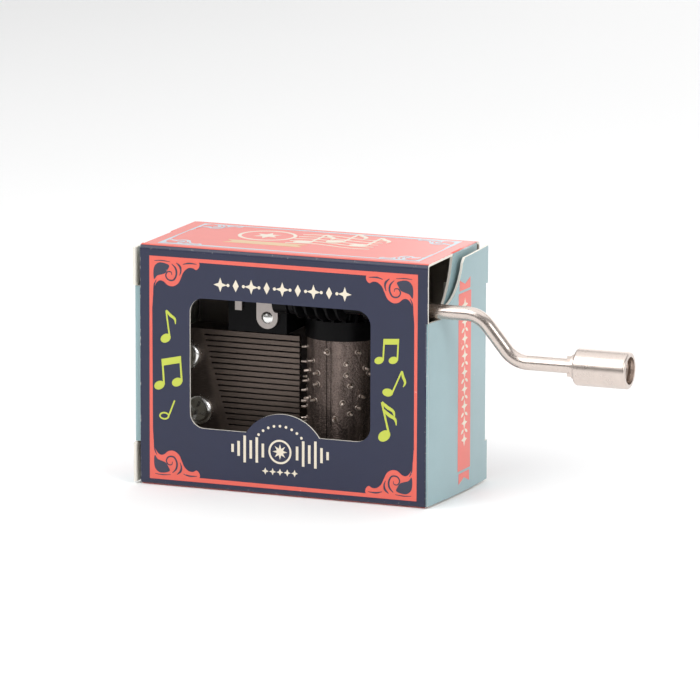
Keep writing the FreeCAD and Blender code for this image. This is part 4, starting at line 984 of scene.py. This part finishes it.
def quarter_round(name, centre, start, end, run, material):
    """A fold: a quarter-round solid about a hinge line."""
    steps = stage().arc_steps
    mesh = bmesh.new()
    centre, start, end, run = Vector(centre), Vector(start), Vector(end), Vector(run)
    sweep = start.angle(end)
    rings = []
    for offset in (Vector((0, 0, 0)), run):
        ring = [mesh.verts.new(centre + offset)]
        for step in range(steps + 1):
            share = step / steps
            arm = (start * math.sin((1 - share) * sweep) + end * math.sin(share * sweep)) / math.sin(sweep)
            ring.append(mesh.verts.new(centre + offset + arm))
        rings.append(ring)
    near, far = rings
    count = len(near)
    mesh.faces.new(near)
    mesh.faces.new(far[::-1])
    for index in range(count):
        after = (index + 1) % count
        mesh.faces.new((near[after], near[index], far[index], far[after]))
    bmesh.ops.recalc_face_normals(mesh, faces=mesh.faces)
    piece = as_object(name, mesh)
    piece.data.materials.append(material)
    for face in piece.data.polygons:
        face.use_smooth = len(face.vertices) == 4
    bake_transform(piece)
    return piece


def root_span(node, level):
    """Where a dust flap's fold starts and ends along Y."""
    marks = [vertex.co.y for vertex in frame["nodes"][node].data.vertices
             if abs(vertex.co.z - level) < card * 0.1]
    return min(marks), max(marks)


class MUSICBOX_OT_fold_card(bpy.types.Operator):
    """Round the creases between the sleeve and its end panels and dust flaps"""

    bl_idname = "musicbox.fold_card"
    bl_label = "Fold the card"

    def execute(self, context):
        skin = card * 0.995
        for side, sign in (("right", 1), ("left", -1)):
            low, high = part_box(side + "_end_panel")
            shelf = high.z
            if side == "right":
                near = [vertex.co.z for vertex in frame["nodes"]["right_end_panel"].data.vertices
                        if vertex.co.y < -fold_y + card * 0.05]
                shelf = max(near)
            corner = Vector((sign * fold_x, -sign * fold_y, low.z))
            tilt = math.radians(7.7 if side == "right" else 7.0)
            end = Vector((sign * math.cos(tilt), -sign * math.sin(tilt), 0)) * skin
            material = fold_card(side + "_fold_card", carton().front_colour, corner, (sign, 0, 0), 0.55)
            quarter_round(side + "_end_crease", corner, (0, -sign * skin, 0), end,
                          (0, 0, shelf - low.z), material)
            for level, up in (("top", 1), ("bottom", -1)):
                z = sleeve_high.z - card if up > 0 else card
                near_y, far_y = root_span("%s_%s_dust_flap" % (side, level), z)
                corner = Vector((sign * fold_x, near_y, z))
                material = fold_card("%s_%s_fold_card" % (side, level), carton().top_colour, corner,
                                     (sign, 0, 0), 0.72)
                quarter_round("%s_%s_crease" % (side, level), corner, (0, 0, up * skin), (sign * skin, 0, 0),
                              (0, far_y - near_y, 0), material)
        return {"FINISHED"}


class MUSICBOX_OT_print_front(bpy.types.Operator):
    """Print the front wall: frame line, scrolls, headline ornament, emblem and notes"""

    bl_idname = "musicbox.print_front"
    bl_label = "Print the front"

    def execute(self, context):
        cream = ink_finish("cream_ink", carton().cream_colour)
        framed("front", FRONT_LINE, 1.0, onto_front, ink_finish("bright_ink", carton().top_colour),
               ink_finish("front_bare", carton().front_colour))
        headline_art().wrap("front_headline_print", onto_front, cream, "carton")
        emblem_art().wrap("front_emblem_print", onto_front, cream, "carton")
        lime = ink_finish("note_ink", carton().note_colour)
        notes_art().wrap("front_notes_print", onto_front, lime, "carton")
        return {"FINISHED"}


class MUSICBOX_OT_print_back(bpy.types.Operator):
    """Print the back wall with the same frame line and scrolls"""

    bl_idname = "musicbox.print_back"
    bl_label = "Print the back"

    def execute(self, context):
        framed("back", FRONT_LINE, 1.0, onto_back, ink_finish("back_ink", carton().top_colour),
               ink_finish("back_bare", carton().front_colour))
        return {"FINISHED"}


class MUSICBOX_OT_print_top(bpy.types.Operator):
    """Print the top wall: border, ornament and banner"""

    bl_idname = "musicbox.print_top"
    bl_label = "Print the top"

    def execute(self, context):
        framed("top", TOP_LINE, 0.82, onto_top, ink_finish("border_ink", carton().line_colour),
               ink_finish("top_bare", carton().top_colour))
        banner = ink_finish("banner_ink", carton().ribbon_colour)
        top_banner_art().wrap("top_banner_print", onto_top, banner, "carton")
        cream = ink_finish("ornament_ink", carton().cream_colour)
        top_ornament_art().wrap("top_ornament_print", onto_top, cream, "carton")
        top_notes_art().wrap("top_notes_print", onto_top, cream, "carton")
        return {"FINISHED"}


class MUSICBOX_OT_print_ends(bpy.types.Operator):
    """Print the ribbon on both end panels, bent to their bow"""

    bl_idname = "musicbox.print_ends"
    bl_label = "Print the ends"

    def execute(self, context):
        coral = ink_finish("ribbon_ink", carton().top_colour)
        cream = ink_finish("lozenge_ink", carton().cream_colour)
        cuts = [RIBBON[0] + (RIBBON[1] - RIBBON[0]) * step / 6 for step in range(1, 6)]
        for side, sign in (("right", 1), ("left", -1)):
            bow = bow_of(side + "_end_panel")

            def onto_end(u, v, height):
                y = sign * (u - fold_y)
                return bow(y) + sign * height, y, v

            end_ribbon_art().wrap(side + "_ribbon_print", onto_end, coral, side + "_end", cuts)
            end_pattern_art().wrap(side + "_lozenge_print", onto_end, cream, side + "_end", cuts)
        return {"FINISHED"}


# --------------------------------------------------------------------------
# Movement
# --------------------------------------------------------------------------
class MUSICBOX_OT_finish_comb(bpy.types.Operator):
    """Finish the comb, its screws, weights and dampers"""

    bl_idname = "musicbox.finish_comb"
    bl_label = "Finish the comb"

    def execute(self, context):
        dress(comb_finish(), "comb")
        dress(lead_finish(), "comb_weights")
        dress(film_finish(), "comb_dampers")
        return {"FINISHED"}


class MUSICBOX_OT_finish_drum(bpy.types.Operator):
    """Finish the drum and raise a burr about the root of every pin"""

    bl_idname = "musicbox.finish_drum"
    bl_label = "Finish the drum"

    def execute(self, context):
        plate = drum_finish()
        dress(plate, "drum_shell")
        mesh = bmesh.new()
        section = 6
        around = 14
        for angle, z in pin_places():
            out = Vector((math.cos(angle), math.sin(angle), 0))
            side = Vector((-math.sin(angle), math.cos(angle), 0))
            root = Vector((drum_axis.x, drum_axis.y, z)) + out * drum_radius
            rows = []
            for step in range(around):
                turn = math.tau * step / around
                lean = side * math.cos(turn) + Vector((0, 0, math.sin(turn)))
                wobble = 1 + 0.16 * math.sin(turn * 2 + angle * 5)
                ring = root + lean * movement().burr_radius * wobble
                sideways = movement().burr_radius * math.cos(turn)
                ring -= out * (drum_radius - math.sqrt(drum_radius ** 2 - sideways ** 2))
                thick = movement().burr_thick * (1 + 0.35 * math.cos(turn + angle * 3))
                row = []
                for corner in range(section):
                    tip = math.tau * corner / section
                    row.append(mesh.verts.new(ring + (lean * math.cos(tip) + out * math.sin(tip)) * thick))
                rows.append(row)
            for step in range(around):
                here, there = rows[step], rows[(step + 1) % around]
                for corner in range(section):
                    after = (corner + 1) % section
                    mesh.faces.new((here[corner], here[after], there[after], there[corner]))
        bmesh.ops.recalc_face_normals(mesh, faces=mesh.faces)
        burrs = as_object("pin_burrs", mesh)
        for face in burrs.data.polygons:
            face.use_smooth = True
        dull = [level * 0.62 for level in movement().pin_colour]
        burrs.data.materials.append(nickel_finish("burr_metal", dull, (1.0, 1.0, 1.0), 0.3))
        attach(burrs, "drum")
        return {"FINISHED"}


def pin_places():
    """Angle and height of each pin, found from the drum's outermost corners."""
    corners = []
    for vertex in frame["nodes"]["drum_shell"].data.vertices:
        away = Vector((vertex.co.x - drum_axis.x, vertex.co.y - drum_axis.y))
        if away.length > drum_radius + 0.00085:
            corners.append((math.atan2(away.y, away.x), vertex.co.z))
    found = {}
    for angle, z in corners:
        for spot in found:
            turn = (angle - spot[0] + math.pi) % math.tau - math.pi
            if abs(turn) < 0.06 and abs(z - spot[1]) < 0.0005:
                found[spot].append((turn, z))
                break
        else:
            found[(angle, z)] = [(0.0, z)]
    places = []
    for spot, near in found.items():
        turn = sum(item[0] for item in near) / len(near)
        places.append((spot[0] + turn, sum(item[1] for item in near) / len(near)))
    return places


class MUSICBOX_OT_finish_bearings(bpy.types.Operator):
    """Finish the casting, the plastic parts, the strap, the rivets and the screws"""

    bl_idname = "musicbox.finish_bearings"
    bl_label = "Finish the bearings"

    def execute(self, context):
        dress(casting_finish(), "base_frame")
        dress(plastic_finish(), "bearing_block", "crank_bush", "drum_wheel", "drum_cap", "worm")
        dress(bright_finish("bright_steel", movement().zinc_colour, 0.17),
              "comb_screws", "block_screws", "strap_rivets", "drum_arbor")
        dress(bright_finish("strap_steel", movement().strap_colour, 0.34), "shaft_strap")
        return {"FINISHED"}


class MUSICBOX_OT_finish_crank(bpy.types.Operator):
    """Finish the crank wire and its knob"""

    bl_idname = "musicbox.finish_crank"
    bl_label = "Finish the crank"

    def execute(self, context):
        dress(nickel_finish("crank_nickel", movement().nickel_colour, (0.05, 1.0, 1.0)), "crank_wire")
        dress(nickel_finish("knob_nickel", movement().nickel_colour, (1.0, 0.12, 0.12), 0.20), "crank_knob")
        return {"FINISHED"}


# --------------------------------------------------------------------------
# Stage
# --------------------------------------------------------------------------
LAMPS = (
    # name, place, size, power
    ("key_lamp", (-0.26, -0.42, 0.52), 0.56, 7.5),
    ("side_lamp", (0.52, -0.30, 0.30), 0.30, 3.6),
    ("top_lamp", (0.05, 0.10, 0.70), 0.75, 4.5),
    ("back_lamp", (0.10, 0.75, 0.30), 0.80, 4.0),
)


def lamp(name, place, size, power):
    """A square lamp that faces the object."""
    data = bpy.data.lights.new(name, "AREA")
    data.size = size
    data.energy = power * stage().light_share
    made = bpy.data.objects.new(name, data)
    bpy.context.scene.collection.objects.link(made)
    made.location = place
    towards = Vector(stage().aim) - Vector(place)
    made.rotation_euler = towards.to_track_quat("-Z", "Y").to_euler()
    return made


# The room gets lighter away from the camera and upwards, and dims again right overhead.
ROOM_DIM = (0.16, 0.155, 0.15)
ROOM_BRIGHT = (1.0, 1.0, 1.0)
ROOM_AWAY = 0.75
ROOM_OVERHEAD = 0.42


def room_light():
    """A plain room: bright beyond the object, dimmer overhead and dim behind the camera."""
    graph = Graph("room", bpy.data.worlds)
    around = Wire(graph, graph.node("ShaderNodeTexCoord").outputs["Generated"])
    _, y, z = graph.parts(around)
    beyond = graph.node("ShaderNodeMapRange", None,
                        {"Value": y * ROOM_AWAY + z, "From Min": -0.55, "From Max": 0.45})
    colour = graph.mix(Wire(graph, beyond.outputs["Result"]), ROOM_DIM, ROOM_BRIGHT)
    level = stage().room_level
    strength = graph.node("ShaderNodeMapRange", {"interpolation_type": "SMOOTHSTEP"},
                          {"Value": z, "From Min": 0.30, "From Max": 0.75,
                           "To Min": level, "To Max": level * ROOM_OVERHEAD})
    light = graph.node("ShaderNodeBackground", None,
                       {"Color": colour, "Strength": Wire(graph, strength.outputs["Result"])})
    graph.node("ShaderNodeOutputWorld", None, {"Surface": Wire(graph, light.outputs["Background"])})
    bpy.context.scene.world = graph.owner


def floor():
    """A wide pale floor just under the carton."""
    reach = 3.0
    drop = 0.00005
    mesh = bmesh.new()
    corners = ((-reach, -reach), (reach, -reach), (reach, reach), (-reach, reach))
    mesh.faces.new([mesh.verts.new((x, y, -drop)) for x, y in corners])
    made = as_object("floor", mesh)
    graph = Graph("floor_paint")
    cloud = graph.noise(0.2, 2.0)
    colour = graph.tones(cloud, stage().floor_colour, 0.01)
    made.data.materials.append(graph.surface(colour, 0.7 + cloud * 0.05))


def camera():
    """The camera, from its angles and distance to what it looks at."""
    settings = stage()
    data = bpy.data.cameras.new("camera")
    data.lens = settings.lens
    data.sensor_width = 36.0
    data.clip_start = settings.distance * 0.1
    data.clip_end = settings.distance * 20
    made = bpy.data.objects.new("camera", data)
    bpy.context.scene.collection.objects.link(made)
    flat = math.cos(settings.elevation)
    back = Vector((math.sin(settings.azimuth) * flat, -math.cos(settings.azimuth) * flat,
                   math.sin(settings.elevation)))
    made.rotation_mode = "QUATERNION"
    made.location = Vector(settings.aim) + back * settings.distance
    facing = (-back).to_track_quat("-Z", "Y")
    made.rotation_quaternion = facing @ Matrix.Rotation(settings.roll, 3, "Z").to_quaternion()
    bpy.context.scene.camera = made


class MUSICBOX_OT_stage(bpy.types.Operator):
    """Set up the floor, the lamps, the room and the camera"""

    bl_idname = "musicbox.stage"
    bl_label = "Set the stage"

    def execute(self, context):
        context.scene.view_settings.view_transform = "Standard"
        floor()
        room_light()
        for name, place, size, power in LAMPS:
            lamp(name, place, size, power)
        camera()
        return {"FINISHED"}


class MUSICBOX_PT_sidebar(bpy.types.Panel):
    """Steps of the music box, in order, and their settings"""

    bl_idname = "MUSICBOX_PT_sidebar"
    bl_label = "Music box"
    bl_space_type = "VIEW_3D"
    bl_region_type = "UI"
    bl_category = "Music box"

    def draw(self, context):
        for step in STEPS:
            self.layout.operator(step.bl_idname)
        for group in GROUPS:
            for name in group.__annotations__:
                self.layout.prop(getattr(context.scene, GROUPS[group]), name)


GROUPS = {
    CartonSettings: "music_box_carton",
    MovementSettings: "music_box_movement",
    StageSettings: "music_box_stage",
}
STEPS = (
    MUSICBOX_OT_stage,
    MUSICBOX_OT_print_card,
    MUSICBOX_OT_fold_card,
    MUSICBOX_OT_print_front,
    MUSICBOX_OT_print_back,
    MUSICBOX_OT_print_top,
    MUSICBOX_OT_print_ends,
    MUSICBOX_OT_finish_comb,
    MUSICBOX_OT_finish_drum,
    MUSICBOX_OT_finish_bearings,
    MUSICBOX_OT_finish_crank,
)
CLASSES = (*GROUPS, *STEPS, MUSICBOX_PT_sidebar)


def register():
    """Add the settings, the steps and the panel."""
    for item in CLASSES:
        bpy.utils.register_class(item)
    for group, name in GROUPS.items():
        setattr(bpy.types.Scene, name, PointerProperty(type=group))


def unregister():
    """Take them away again."""
    for name in GROUPS.values():
        delattr(bpy.types.Scene, name)
    for item in reversed(CLASSES):
        bpy.utils.unregister_class(item)


def main():
    """Make the whole model."""
    register()
    for step in STEPS:
        category, name = step.bl_idname.split(".")
        getattr(getattr(bpy.ops, category), name)()


if __name__ == "__main__":
    main()
